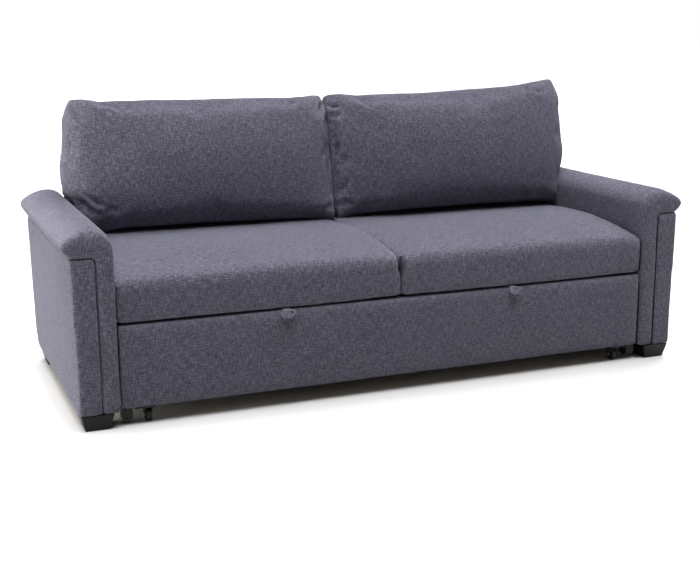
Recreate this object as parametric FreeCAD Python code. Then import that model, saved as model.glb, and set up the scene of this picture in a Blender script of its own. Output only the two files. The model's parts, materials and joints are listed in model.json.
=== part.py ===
import FreeCAD, Part
import math
import os

# Sleeper sofa with a pull-out bed base, in millimetres.
# X runs along the sofa, to the viewer's right; Y runs from the front to the back; Z is up.
# The model is drawn with Y measured back from the arm fronts and X from the middle of the sofa.
# The last step moves it so that the origin is on the floor, under the middle of the sofa.

Vec = FreeCAD.Vector

# Overall sizes
WIDTH = 2130.0             # over the arm side panels, at their top
DEPTH = 915.0              # arm fronts to the back panel
ARM_WIDTH = 130.0
BACK_HEIGHT = 740.0        # top of the fixed back
TRAVEL = 490.0             # how far the bed base pulls out

# Clearances
TOUCH = 0.3                # between parts that rest on or against each other
SEAM = 1.0                 # open seam beside the arm's front panel
SHAFT_GAP = 0.05           # radial, between a pin or screw and its hole
HOLE_END = 1.0             # between a bolt's end and the bottom of its hole
WHEEL_GAP = 1.0            # beside a wheel or a roller
OVERSHOOT = 1.0            # how far a cut runs past the solid it cuts

# Arms
FOOT_HEIGHT = 49.0
ARM_BOX_TOP = 527.0        # where the side panel meets the pad
ARM_LEAN = 7.0             # how far the side panel leans in at its foot
ARM_CREST = 612.0
ARM_REAR_RISE = 8.0
ARM_TIP = 562.0            # height of the flare's tip at the front
FLARE = 22.0
BAND_WIDTH = 54.0          # the pad's strip down the inner side
BAND_DEPTH = 60.0
PAD_RISE = 5.0             # inner pad's lower edge, above the seat rails' top
PANEL = 15.0               # padded boards on the arm's front and rear
SIDE_PANEL = 14.0
PANEL_CORNER = 14.0
ARM_CHAMFER_RISE = 57.0
ARM_CHAMFER_RUN = 40.0
ARM_RAIL = 38.0
POST_FRONT = 70.0
POST = 40.0
RAIL_SETBACK = 10.0        # guide rail's cleat, behind the arm's inner face

# Feet
FOOT_TOP = 99.0
FOOT_BASE_X = 74.0
FOOT_BASE_Y = 78.0
FOOT_INSET = 54.0          # foot's middle, in from the arm's outer face at the floor
FOOT_FRONT_Y = 50.0
FOOT_REAR_SETBACK = 93.0   # rear foot's middle, in from the back
FOOT_BOLT_R = 4.0
FOOT_BOLT_DROP = 29.0      # how far the bolt reaches into the foot
FOOT_BOLT_RISE = 35.0

# Back
BACK_PANEL = 18.0
BACK_BOTTOM = 55.0
BACK_FRAME = 33.0
BACK_POST = 40.0
BACK_RAIL = 38.0
BACK_PAD_FOOT = 123.0      # pad's face, forward of the back at its foot
BACK_PAD_TOP = 69.0        # and under its rolled top
BACK_PAD_RISE = 9.0        # pad's foot, above the seat rails' top
BACK_PAD_ROLL = 30.0
WEB_WIDTH = 50.0
WEB_THICKNESS = 1.5
WEB_COUNT = 8
WEB_END = 4.0              # below the top of the back frame
BACK_SIDE_GAP = 2.0
BACK_FRAME_DROP = 25.0     # below the top of the back
BACK_PANEL_DROP = 2.0
BACK_PANEL_ROUND = 5.0

# Seat
SEAT_GAP = 4.0             # open seam between the seat and the bed base's front
SEAT_RAIL_LIFT = 2.0       # rails, above the lower edge of the seat's front roll
SEAT_RAIL_HEIGHT = 75.0
SEAT_RAIL = 38.0
SEAT_SIDE_RAIL = 44.0
SEAT_FRONT_Y = 12.0
SEAT_ROLL = 32.0
SEAT_REST = 164.0          # height of the flat part under the back cushions
SEAT_REST_REACH = 228.0    # and its depth
SEAT_REAR_GAP = 4.0
SEAT_SIDE_GAP = 5.0
SEAT_SPLIT = 4.0
SEAT_FACE_HEIGHT = 106.0   # flat part of the front face
SEAT_CROWN_Y = 300.0
SEAT_ROLL_Y = 34.0         # where the front roll meets the top, behind the front face
# Across each seat half: share of its width, height of the front edge, height of the crown
SEAT_STATIONS = (
    (0.0, 132.0, 166.0), (0.04, 137.0, 170.0), (0.22, 143.0, 176.0), (0.5, 145.0, 180.0),
    (0.8, 141.0, 176.0), (0.96, 134.0, 169.0), (1.0, 128.0, 166.0),
)
DUST_COVER = 1.0

# Seat springs: wires bent to and fro across the seat frame
SPRING_COUNT = 8
SPRING_WIRE_R = 1.9
SPRING_BENDS = 17
SPRING_HALF_WIDTH = 24.0

# Bolts that hold the seat frame between the arms
SEAT_BOLT_R = 4.0
SEAT_BOLT_HEAD_R = 8.0
SEAT_BOLT_HEAD = 6.0
SEAT_BOLT_BITE = 50.0
SEAT_BOLT_END = 106.0      # first and last bolt, in from the ends of the seat frame
SEAT_BOLT_COUNT = 3

# Guide rails on the arms, for the rollers of the bed base
RAIL_WALL = 2.0
RAIL_LIP = 2.5             # how far the channel's lips reach past the roller
RAIL_STOP = 8.0
RAIL_FLANGE = 16.0         # strip of the web above the channel, for the screws
RAIL_CLEAT_HEIGHT = 84.0
RAIL_SCREW_R = 3.0
RAIL_SCREW_HEAD_R = 5.0
RAIL_SCREW_HEAD = 2.5
RAIL_SCREW_BITE = 30.0
RAIL_SCREW_END = 45.0      # first and last screw, in from the ends of the rail
RAIL_SCREW_COUNT = 4

# Bed base that pulls out
FRONT_BOTTOM = 52.0
FRONT_HEIGHT = 262.0
FRONT_Y = 10.0
FRONT_PAD = 22.0
FRONT_BOARD = 18.0
FRONT_EDGE_R = 7.0
FRONT_SIDE_GAP = 6.0
BOARD_INSET = 4.0          # board's edges, inside the padded face's
BASE_STAY = 100.0          # how much more of the base lies behind its board than it travels
BASE_SIDE_GAP = 20.0       # between the base's sides and the arms
BASE_BOARD = 18.0
BASE_DROP = 65.0           # top of the base's sides, below the top of its front
BASE_RAIL_X = 300.0
BASE_RAIL = 22.0
BASE_RAIL_HEIGHT = 70.0
CLEAT_DEPTH = 45.0
CLEAT_HEIGHT = 28.0
SLAT_COUNT = 7
SLAT_WIDTH = 51.0
SLAT = 12.0
SLAT_INSET = 2.0
DECK_HEIGHT = 40.7         # pad's thickness at the middle
DECK_CROWN = 8.0
DECK_EDGE = 26.0
DECK_INSET = 4.0
DECK_END = 40.0            # over which the deck's crown falls away at each end
DECK_CORNER = 14.0

# Rollers
ROLLER_R = 15.0
ROLLER_WIDTH = 10.0
ROLLER_BORE_R = 4.05
ROLLER_SETBACK = 34.0      # roller's middle, in from the base's rear
ROLLER_Z = 200.0
ROLLER_RUN_GAP = 0.5       # above and below the roller in its channel
ROLLER_STOP_GAP = 2.0
ROLLER_EDGE = 1.0
ROLLER_COLLAR_R = 8.0      # collar and end flange beside the roller
ROLLER_FLANGE = 1.0
ROLLER_HEAD_R = 9.0
ROLLER_HEAD = 6.0
ROLLER_WEB_GAP = 1.5       # room for the end flange beside the rail's web

# Casters
WHEEL_R = 20.0
WHEEL_WIDTH = 18.0
WHEEL_INSET = 70.0         # wheel's middle, in from the base's side
WHEEL_FRONT_INSET = 35.0   # and in from the base's front face
WHEEL_REAR_INSET = 65.0    # and in from the base's rear
WHEEL_TREAD = 2.5          # rounding of the wheel's edge
AXLE_R = 3.0
AXLE_HEAD_R = 5.0
AXLE_HEAD = 1.5
CASTER_PLATE = 3.0
CASTER_PLATE_IN = 20.0     # from the wheel's middle to the plate's inner edge
CASTER_PLATE_OUT = 45.0    # and to its outer edge
CASTER_PLATE_FRONT = 27.0
CASTER_PLATE_REAR = 38.0
CASTER_EAR = 2.5
CASTER_EAR_TOP = 34.0
CASTER_EAR_FOOT = 14.0
CASTER_SCREW_R = 2.5
CASTER_SCREW_HEAD_R = 5.0
CASTER_SCREW_HEAD = 3.5
CASTER_SCREW_BITE = 18.0
CASTER_SCREW_X = 28.0
CASTER_SCREW_YS = (12.0, 28.0)

# Corner glides under the bed base's front
GLIDE_WIDTH = 30.0
GLIDE_DEPTH = 46.0
GLIDE_HEIGHT = 38.0
GLIDE_SIDE_GAP = 10.0
GLIDE_TOE = 12.0
GLIDE_SETBACK = 16.0       # behind the base's front face

# Pull tabs
TAB_LEFT_X = -398.0
TAB_RIGHT_X = 412.0
TAB_LEFT_WIDTH = 46.0
TAB_RIGHT_WIDTH = 32.0
TAB_HEIGHT = 24.0
TAB_THICKNESS = 5.0
TAB_TAIL = 1.2
TAB_TAIL_DEPTH = 36.0
TAB_TAIL_WIDTH = 20.0
TAB_LIFT = 0.2             # tail over the padded face's top
TAB_LEFT_SKEW = -6.0       # how far the fold's tip hangs to one side
TAB_RIGHT_SKEW = -4.0

# Loose back cushions
CUSHION_EASE = 9.0         # how much wider a cushion is than half the space between the arms
CUSHION_HEIGHT = 462.0
CUSHION_EDGE = 132.0       # thickness at the seams
CUSHION_CROWN = 34.0       # how far the faces swell past the seams
CUSHION_SIDE_SWELL = 16.0
CUSHION_TOP_EDGE = 104.0
CUSHION_LIFT_CLEAR = 14.0  # over the arm's crest, where a cushion may lean out past the arm's face
CUSHION_MEET_X = 12.0      # upright plane where the two cushions meet
CUSHION_MEET_GAP = 1.0
# Middle of each cushion's lower front edge: in from the arm, forward of the back, above the seat
LEFT_CUSHION_AT = (471.0, 301.0, 6.0)
LEFT_CUSHION_TURN = (1.0, 14.5, 0.5)      # yaw, lean and roll, in degrees
RIGHT_CUSHION_AT = (448.0, 325.0, 12.0)
RIGHT_CUSHION_TURN = (2.5, 11.5, -1.2)
# Up each cushion: share of its height, inset of the seams, taper, swell of the faces, swell of the sides
CUSHION_RINGS = (
    (0.0, 10.0, 0.0, 0.25, 0.15), (0.12, 3.0, 0.0, 0.72, 0.55), (0.45, 0.0, 0.0, 1.0, 1.0),
    (0.8, 3.0, 0.0, 0.72, 0.6), (0.94, 7.0, 0.35, 0.42, 0.3), (1.0, 14.0, 1.0, 0.2, 0.12),
)

# Places worked out from the sizes above
ARM_OUT = WIDTH / 2
ARM_IN = ARM_OUT - ARM_WIDTH
ARM_FOOT_OUT = ARM_OUT - ARM_LEAN
FRONT_TOP = FRONT_BOTTOM + FRONT_HEIGHT
SEAT_BOTTOM = FRONT_TOP + SEAT_GAP
SEAT_RAIL_BOTTOM = SEAT_BOTTOM + SEAT_RAIL_LIFT
SEAT_RAIL_TOP = SEAT_RAIL_BOTTOM + SEAT_RAIL_HEIGHT
SEAT_REST_Z = SEAT_BOTTOM + SEAT_REST
PAD_BOTTOM = SEAT_RAIL_TOP + PAD_RISE
FOOT_REAR_Y = DEPTH - FOOT_REAR_SETBACK
PANEL_IN_X = ARM_IN + BAND_WIDTH + SEAM
PANEL_TOP = ARM_BOX_TOP - TOUCH
FRAME_IN = ARM_IN + BAND_WIDTH + TOUCH
FRAME_OUT = ARM_FOOT_OUT - SIDE_PANEL - TOUCH
FRAME_FRONT_Y = PANEL + TOUCH
FRAME_REAR_Y = DEPTH - PANEL - TOUCH
LEDGER_REAR_Y = FRAME_REAR_Y - POST / 2
LEDGER_TOP = PAD_BOTTOM - TOUCH
CLEAT_FRONT_Y = BAND_DEPTH + TOUCH
RAIL_FACE_X = ARM_IN + RAIL_SETBACK
SEAT_FRAME_X = ARM_IN - TOUCH
SEAT_FRAME_FRONT_Y = SEAT_FRONT_Y + SEAT_ROLL + TOUCH
SEAT_PAD_BOTTOM = SEAT_RAIL_TOP + 2 * SPRING_WIRE_R + 2 * TOUCH
BACK_PANEL_Y = DEPTH - BACK_PANEL
BACK_FRAME_Y = BACK_PANEL_Y - TOUCH - BACK_FRAME
BACK_X = ARM_IN - BACK_SIDE_GAP
BACK_PAD_REAR_Y = BACK_FRAME_Y - WEB_THICKNESS - TOUCH
BACK_PAD_FOOT_Y = DEPTH - BACK_PAD_FOOT
BACK_PAD_TOP_Y = DEPTH - BACK_PAD_TOP
BACK_PAD_FOOT_Z = SEAT_RAIL_TOP + BACK_PAD_RISE
SEAT_REAR_Y = BACK_PAD_FOOT_Y - SEAT_REAR_GAP
SEAT_REST_Y = SEAT_REAR_Y - SEAT_REST_REACH
BACK_FRAME_TOP = BACK_HEIGHT - BACK_FRAME_DROP
FRONT_X = ARM_IN - FRONT_SIDE_GAP
BOARD_Y = FRONT_Y + FRONT_PAD
BASE_FRONT_Y = BOARD_Y + FRONT_BOARD
BASE_REAR_Y = BASE_FRONT_Y + TRAVEL + BASE_STAY
BASE_HALF_WIDTH = ARM_IN - BASE_SIDE_GAP
BASE_TOP = FRONT_TOP - BASE_DROP
SLAT_TOP = BASE_TOP + SLAT
DECK_TOP = SLAT_TOP + TOUCH + DECK_HEIGHT
ROLLER_Y = BASE_REAR_Y - ROLLER_SETBACK
ROLLER_OUT_X = RAIL_FACE_X - RAIL_WALL - WHEEL_GAP - ROLLER_WEB_GAP
ROLLER_IN_X = ROLLER_OUT_X - ROLLER_WIDTH
RAIL_FRONT_Y = ROLLER_Y - TRAVEL - ROLLER_R - ROLLER_STOP_GAP - RAIL_STOP
RAIL_REAR_Y = ROLLER_Y + ROLLER_R + ROLLER_STOP_GAP + RAIL_STOP
RAIL_HEIGHT = 2 * (ROLLER_R + ROLLER_RUN_GAP + RAIL_WALL)
RAIL_WIDTH = RAIL_FACE_X - ROLLER_IN_X + RAIL_LIP
RAIL_SCREW_Z = ROLLER_Z + RAIL_HEIGHT / 2 + RAIL_FLANGE / 2
WHEEL_X = BASE_HALF_WIDTH - WHEEL_INSET
WHEEL_YS = {"front": FRONT_Y + WHEEL_FRONT_INSET, "rear": BASE_REAR_Y - WHEEL_REAR_INSET}
GLIDE_OUT = ARM_IN - GLIDE_SIDE_GAP
CUSHION_WIDTH = ARM_IN + CUSHION_EASE
SIDES = {"left": -1, "right": 1}

PARTS = {}


def box(xs, ys, zs):
    """Block between the low and high values on each axis."""
    corner = Vec(min(xs), ys[0], zs[0])
    return Part.makeBox(abs(xs[1] - xs[0]), ys[1] - ys[0], zs[1] - zs[0], corner)


def rod(start, end, radius):
    """Round bar between two points."""
    axis = Vec(*end) - Vec(*start)
    return Part.makeCylinder(radius, axis.Length, Vec(*start), axis)


def outline(lift, start, *moves):
    """Closed wire. A move is a point for a line, or (mid, end) for an arc."""
    edges = []
    here = start
    for move in moves:
        if isinstance(move[0], tuple):
            edges.append(Part.Arc(lift(here), lift(move[0]), lift(move[1])).toShape())
            here = move[1]
        else:
            edges.append(Part.makeLine(lift(here), lift(move)))
            here = move
    if here != start:
        edges.append(Part.makeLine(lift(here), lift(start)))
    return Part.Wire(edges)


def in_xz(y):
    """Lift for an outline in the plane across the sofa's depth."""
    return lambda p: Vec(p[0], y, p[1])


def in_yz(x):
    """Lift for an outline in the plane across the sofa's length."""
    return lambda p: Vec(x, p[0], p[1])


def slab(wire, along):
    """Solid made by pushing a flat outline along a vector."""
    return Part.Face(wire).extrude(Vec(*along))


def loft(wires, ruled=False):
    """Closed solid through a row of outlines."""
    return Part.makeLoft(wires, True, ruled)


def mirrored(shape, side):
    """The shape as it is on the right, or its mirror image on the left."""
    if side > 0:
        return shape
    return shape.mirror(Vec(0, 0, 0), Vec(1, 0, 0))


def round_edges(shape, radius):
    """The full circles of a radius among a shape's edges."""
    return [e for e in shape.Edges if e.Length > 0.99 * math.tau * radius]


def fused(shapes):
    """One solid from shapes that meet."""
    return shapes[0].multiFuse(shapes[1:]).removeSplitter()


def add(name, *shapes):
    """Keep one or more solids under a node's name."""
    PARTS[name] = list(shapes)


def add_pair(name, build):
    """Build a right-hand part and keep it and its mirror image."""
    for side_name, side in SIDES.items():
        shapes = [mirrored(s, side) for s in build()]
        add(name + "_" + side_name, *shapes)


# Arms

def outer_x(z):
    """The side panel's outer face at a height."""
    return ARM_FOOT_OUT + ARM_LEAN * (z - FOOT_HEIGHT) / (ARM_BOX_TOP - FOOT_HEIGHT)


def arm_frame():
    """Five straight timbers in the arm, the seat's ledger and the cleat for the guide rail."""
    x = (FRAME_IN, FRAME_OUT)
    rail_top = FOOT_HEIGHT + ARM_RAIL
    head_bottom = PANEL_TOP - ARM_RAIL
    rear = FRAME_REAR_Y
    bottom = box(x, (FRAME_FRONT_Y, DEPTH - ARM_CHAMFER_RUN - TOUCH), (FOOT_HEIGHT, rail_top))
    head_out = outer_x(head_bottom) - SIDE_PANEL - TOUCH
    head = box((FRAME_IN, head_out), (FRAME_FRONT_Y, rear), (head_bottom, PANEL_TOP))
    middle = (FRAME_FRONT_Y + rear) / 2
    posts = [
        box(x, (FRAME_FRONT_Y, FRAME_FRONT_Y + POST_FRONT), (rail_top, head_bottom)),
        box(x, (middle - POST / 2, middle + POST / 2), (rail_top, head_bottom)),
        box(x, (rear - POST, rear), (rail_top, head_bottom)),
    ]
    inner = (ARM_IN, FRAME_IN)
    ledger = box(inner, (CLEAT_FRONT_Y, LEDGER_REAR_Y), (SEAT_RAIL_BOTTOM, LEDGER_TOP))
    cleat_z = (ROLLER_Z - RAIL_CLEAT_HEIGHT / 2, ROLLER_Z + RAIL_CLEAT_HEIGHT / 2)
    cleat = box((RAIL_FACE_X, FRAME_IN), (CLEAT_FRONT_Y, LEDGER_REAR_Y), cleat_z)
    for y in seat_bolt_ys():
        ledger = ledger.cut(seat_bolt_hole(y))
    for y in rail_screw_ys():
        cleat = cleat.cut(rail_screw_hole(y))
    for y in (FOOT_FRONT_Y, FOOT_REAR_Y):
        bottom = bottom.cut(foot_bolt_hole(y))
    return [bottom, head] + posts + [ledger, cleat]


def arm_front_panel():
    """Inset padded board on the arm's front, with a rounded corner at its inner top."""
    r = PANEL_CORNER
    s = r * (1 - math.sqrt(0.5))
    x, top = PANEL_IN_X, PANEL_TOP
    wire = outline(
        in_xz(0.0),
        (x, FOOT_HEIGHT), (ARM_FOOT_OUT, FOOT_HEIGHT), (outer_x(top), top),
        (x + r, top), ((x + s, top - s), (x, top - r)),
    )
    return [slab(wire, (0, PANEL, 0))]


def arm_side_panel():
    """Leaning padded board on the arm's outer side, cut off at its lower rear corner."""
    z0, z1 = FOOT_HEIGHT, PANEL_TOP
    skin = slab(
        outline(in_xz(PANEL + TOUCH), (ARM_FOOT_OUT - SIDE_PANEL, z0), (ARM_FOOT_OUT, z0),
                (outer_x(z1), z1), (outer_x(z1) - SIDE_PANEL, z1)),
        (0, DEPTH - PANEL - TOUCH, 0),
    )
    return [skin.cut(rear_corner_cut())]


def rear_corner_cut():
    """Wedge that takes off the arm's lower rear corner."""
    z0 = FOOT_HEIGHT
    wire = outline(
        in_yz(0.0),
        (DEPTH - ARM_CHAMFER_RUN, z0 - OVERSHOOT), (DEPTH + OVERSHOOT, z0 - OVERSHOOT),
        (DEPTH + OVERSHOOT, z0 + ARM_CHAMFER_RISE), (DEPTH, z0 + ARM_CHAMFER_RISE),
        (DEPTH - ARM_CHAMFER_RUN, z0),
    )
    return slab(wire, (ARM_OUT + FLARE, 0, 0))


def arm_rear_panel():
    """Padded board that closes the arm's rear."""
    z0, z1 = FOOT_HEIGHT + ARM_CHAMFER_RISE, PANEL_TOP
    lean = outer_x(z0) - SIDE_PANEL - TOUCH
    top = outer_x(z1) - SIDE_PANEL - TOUCH
    wire = outline(in_xz(DEPTH - PANEL), (ARM_IN, z0), (lean, z0), (top, z1), (ARM_IN, z1))
    return [slab(wire, (0, PANEL, 0))]


def cap_outline(y, crest, tip):
    """Section of the rolled arm pad: flare at the outside, crest, roll at the inside."""
    x_in, x_out = ARM_IN, ARM_OUT
    swell = crest - tip
    return outline(
        in_xz(y),
        (x_in, ARM_BOX_TOP), (x_out, ARM_BOX_TOP), (x_out + FLARE, tip - 6.0),
        ((x_out + FLARE - 0.5, tip + 0.1 * swell), (x_out + FLARE - 8.0, tip + 0.3 * swell)),
        ((x_out - 26.0, tip + 0.82 * swell), (x_in + 66.0, crest)),
        ((x_in + 18.0, tip + 0.66 * swell), (x_in, tip - 12.0)),
    )


def arm_pad():
    """Rolled pad over the arm that also runs down its inner side and down its front."""
    rear = ARM_REAR_RISE
    stations = [
        (0.0, -27.0, 0.0), (5.0, -15.0, 0.0), (16.0, -6.0, 0.0), (42.0, 0.0, 0.0),
        (DEPTH - 36.0, rear, rear), (DEPTH - 10.0, rear - 6.0, rear), (DEPTH, rear - 18.0, rear),
    ]
    cap = loft([cap_outline(y, ARM_CREST + up, ARM_TIP + tip) for y, up, tip in stations], True)
    band = (ARM_IN, ARM_IN + BAND_WIDTH)
    front = box(band, (0.0, BAND_DEPTH), (FOOT_HEIGHT, ARM_BOX_TOP))
    inner = box(band, (BAND_DEPTH, FRAME_REAR_Y), (PAD_BOTTOM, ARM_BOX_TOP))
    return [fused([cap, front, inner])]


# Feet

def foot_at(x, y):
    """Tapered block with a bolt hole in its top."""
    def square(z, wide, deep):
        return Part.makePolygon([
            Vec(x - wide / 2, y - deep / 2, z), Vec(x + wide / 2, y - deep / 2, z),
            Vec(x + wide / 2, y + deep / 2, z), Vec(x - wide / 2, y + deep / 2, z),
            Vec(x - wide / 2, y - deep / 2, z),
        ])
    block = loft([square(0.0, FOOT_BASE_X, FOOT_BASE_Y), square(FOOT_HEIGHT, FOOT_TOP, FOOT_TOP)], True)
    return block.cut(foot_bolt_hole(y))


def foot_x():
    """The feet's distance from the sofa's middle."""
    return ARM_FOOT_OUT - FOOT_INSET


def foot_bolt_x():
    """The foot bolts' distance from the sofa's middle: the middle of the arm's timbers."""
    return (FRAME_IN + FRAME_OUT) / 2


def foot_bolt_hole(y):
    """Hole for a foot bolt, through the arm's bottom rail and into the foot."""
    x, gap = foot_bolt_x(), SHAFT_GAP
    low = FOOT_HEIGHT - FOOT_BOLT_DROP - HOLE_END
    return rod((x, y, low), (x, y, FOOT_HEIGHT + FOOT_BOLT_RISE + HOLE_END), FOOT_BOLT_R + gap)


def foot_bolt(y):
    """Headless bolt between a foot and the arm's bottom rail."""
    x = foot_bolt_x()
    return rod((x, y, FOOT_HEIGHT - FOOT_BOLT_DROP), (x, y, FOOT_HEIGHT + FOOT_BOLT_RISE), FOOT_BOLT_R)


# Back

def back_frame():
    """Posts and rails of the fixed back."""
    ys = (BACK_FRAME_Y, BACK_FRAME_Y + BACK_FRAME)
    low, high = BACK_BOTTOM + BACK_RAIL, BACK_FRAME_TOP - BACK_RAIL
    x = ARM_IN - TOUCH
    rails = [
        box((-x, x), ys, (BACK_BOTTOM, low)),
        box((-x, x), ys, (high, BACK_FRAME_TOP)),
    ]
    posts = [
        box((-x, -x + BACK_POST), ys, (low, high)),
        box((-BACK_POST / 2, BACK_POST / 2), ys, (low, high)),
        box((x - BACK_POST, x), ys, (low, high)),
    ]
    cross_z = (SEAT_RAIL_BOTTOM, SEAT_RAIL_TOP)
    crosses = [
        box((-x + BACK_POST, -BACK_POST / 2), ys, cross_z),
        box((BACK_POST / 2, x - BACK_POST), ys, cross_z),
    ]
    return rails + posts + crosses


def back_pad_face(forward):
    """Start and arcs of the back pad's leaning face and rolled top, moved forward by a distance."""
    y0, y1 = BACK_PAD_FOOT_Y - forward, BACK_PAD_TOP_Y - forward
    z0, top, roll = BACK_PAD_FOOT_Z, BACK_HEIGHT, BACK_PAD_ROLL
    face = ((y0 + 0.45 * (y1 - y0), 0.5 * (z0 + top - roll)), (y1, top - roll))
    over = ((y1 + 0.36 * roll, top - 0.24 * roll), (y1 + roll, top))
    return (y0, z0), face, over


def back_pad():
    """Padding on the front of the back frame, rolled over its top."""
    start, face, over = back_pad_face(0.0)
    rear, end = BACK_PAD_REAR_Y, BACK_PANEL_Y - TOUCH
    frame_top = BACK_FRAME_TOP + TOUCH
    wire = outline(
        in_yz(-BACK_X),
        start, face, over, (end, BACK_HEIGHT), (end, frame_top), (rear, frame_top), (rear, BACK_PAD_FOOT_Z),
    )
    return slab(wire, (2 * BACK_X, 0, 0))


def back_panel():
    """Padded board on the outside of the back."""
    shell = box((-BACK_X, BACK_X), (BACK_PANEL_Y, DEPTH), (BACK_BOTTOM, BACK_HEIGHT - BACK_PANEL_DROP))
    rear_edges = [e for e in shell.Edges if e.BoundBox.YMin > BACK_PANEL_Y + BACK_PANEL / 2]
    return shell.makeFillet(BACK_PANEL_ROUND, rear_edges)


def back_webbing():
    """Upright straps stretched over the front of the back frame."""
    ys = (BACK_FRAME_Y - WEB_THICKNESS, BACK_FRAME_Y)
    zs = (SEAT_RAIL_TOP, BACK_FRAME_TOP - WEB_END)
    pitch = 2 * BACK_X / (WEB_COUNT + 1)
    straps = []
    for i in range(WEB_COUNT):
        x = -BACK_X + pitch * (i + 1)
        straps.append(box((x - WEB_WIDTH / 2, x + WEB_WIDTH / 2), ys, zs))
    return straps


# Seat

def seat_frame():
    """Rails of the seat deck, with bolt holes in the side rails."""
    zs = (SEAT_RAIL_BOTTOM, SEAT_RAIL_TOP)
    x, front = SEAT_FRAME_X, SEAT_FRAME_FRONT_Y
    rear = BACK_FRAME_Y
    ys = (front + SEAT_RAIL, rear - SEAT_RAIL)
    rails = [
        box((-x, x), (front, ys[0]), zs),
        box((-x, x), (ys[1], rear), zs),
        box((-SEAT_RAIL / 2, SEAT_RAIL / 2), ys, zs),
    ]
    side = box((x - SEAT_SIDE_RAIL, x), ys, zs)
    for y in seat_bolt_ys():
        side = side.cut(seat_bolt_hole(y))
    return rails + [side, mirrored(side, -1)]


def seat_bolt_ys():
    """Places of the bolts along the seat's side rails."""
    first = SEAT_FRAME_FRONT_Y + SEAT_BOLT_END
    step = (BACK_FRAME_Y - SEAT_BOLT_END - first) / (SEAT_BOLT_COUNT - 1)
    return [first + step * i for i in range(SEAT_BOLT_COUNT)]


def seat_bolt_hole(y):
    """Hole for a seat bolt, from the side rail into the arm's ledger."""
    z = (SEAT_RAIL_BOTTOM + SEAT_RAIL_TOP) / 2
    x0 = SEAT_FRAME_X - SEAT_SIDE_RAIL - OVERSHOOT
    return rod((x0, y, z), (ARM_IN + SEAT_BOLT_BITE + HOLE_END, y, z), SEAT_BOLT_R + SHAFT_GAP)


def seat_bolts():
    """Headed bolts through the seat's side rails into the arms."""
    z = (SEAT_RAIL_BOTTOM + SEAT_RAIL_TOP) / 2
    x0 = SEAT_FRAME_X - SEAT_SIDE_RAIL
    bolts = []
    for y in seat_bolt_ys():
        head = rod((x0 - SEAT_BOLT_HEAD, y, z), (x0, y, z), SEAT_BOLT_HEAD_R)
        shank = rod((x0 - SEAT_BOLT_HEAD / 2, y, z), (ARM_IN + SEAT_BOLT_BITE, y, z), SEAT_BOLT_R)
        bolt = fused([head, shank])
        bolts += [bolt, mirrored(bolt, -1)]
    return bolts


def seat_spring(x):
    """Wire bent to and fro, its ends on the front rail and the rear rail."""
    z = SEAT_RAIL_TOP + SPRING_WIRE_R + TOUCH
    first = SEAT_FRAME_FRONT_Y + SEAT_RAIL / 2
    last = BACK_FRAME_Y - SEAT_RAIL / 2
    step = (last - first) / SPRING_BENDS
    turn = step / 2
    reach = SPRING_HALF_WIDTH - turn
    edges = []
    here = Vec(x, first, z)
    for i in range(SPRING_BENDS):
        side = 1 if i % 2 == 0 else -1
        y = first + step * i
        out = Vec(x + side * reach, y, z)
        tip = Vec(x + side * (reach + turn), y + turn, z)
        back = Vec(x + side * reach, y + step, z)
        edges.append(Part.makeLine(here, out))
        edges.append(Part.Arc(out, tip, back).toShape())
        here = back
    edges.append(Part.makeLine(here, Vec(x, last, z)))
    path = Part.Wire(edges)
    ring = Part.Wire([Part.makeCircle(SPRING_WIRE_R, Vec(x, first, z), Vec(1, 0, 0))])
    return path.makePipeShell([ring], True, False)


def seat_springs():
    """The row of springs on each side of the centre rail."""
    pitch = 2 * (SEAT_FRAME_X - SEAT_SIDE_RAIL) / SPRING_COUNT
    first = -(SEAT_FRAME_X - SEAT_SIDE_RAIL) + pitch / 2
    return [seat_spring(first + pitch * i) for i in range(SPRING_COUNT)]


def seat_section(x, edge, crown):
    """Section of the seat upholstery from front roll to back, with its crown."""
    front, roll = SEAT_FRONT_Y, SEAT_ROLL
    face_top = SEAT_BOTTOM + SEAT_FACE_HEIGHT
    rest = SEAT_REST_Z
    edge, crown = SEAT_BOTTOM + edge, SEAT_BOTTOM + crown
    return outline(
        in_yz(x),
        (front + roll, SEAT_PAD_BOTTOM), (front + roll, SEAT_BOTTOM), (front, SEAT_BOTTOM), (front, face_top),
        ((front + 0.24 * SEAT_ROLL_Y, 0.4 * face_top + 0.6 * edge), (front + SEAT_ROLL_Y, edge)),
        ((SEAT_CROWN_Y, crown), (SEAT_REST_Y, rest)),
        (SEAT_REAR_Y, rest), (SEAT_REAR_Y, SEAT_PAD_BOTTOM),
    )


def seat_cushion():
    """One half of the seat upholstery, fullest at its middle."""
    inner, outer = SEAT_SPLIT / 2, ARM_IN - SEAT_SIDE_GAP
    wide = outer - inner
    return [loft([seat_section(inner + wide * s, edge, crown) for s, edge, crown in SEAT_STATIONS])]


# Guide rails

def rail_screw_ys():
    """Places of the screws along a guide rail."""
    first = RAIL_FRONT_Y + RAIL_SCREW_END
    step = (RAIL_REAR_Y - RAIL_SCREW_END - first) / (RAIL_SCREW_COUNT - 1)
    return [first + step * i for i in range(RAIL_SCREW_COUNT)]


def rail_screw_hole(y):
    """Hole for a rail screw, through the rail's upper strip and into the arm's cleat."""
    x0 = RAIL_FACE_X - RAIL_WALL - OVERSHOOT
    x1 = RAIL_FACE_X + RAIL_SCREW_BITE + HOLE_END
    return rod((x0, y, RAIL_SCREW_Z), (x1, y, RAIL_SCREW_Z), RAIL_SCREW_R + SHAFT_GAP)


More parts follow.
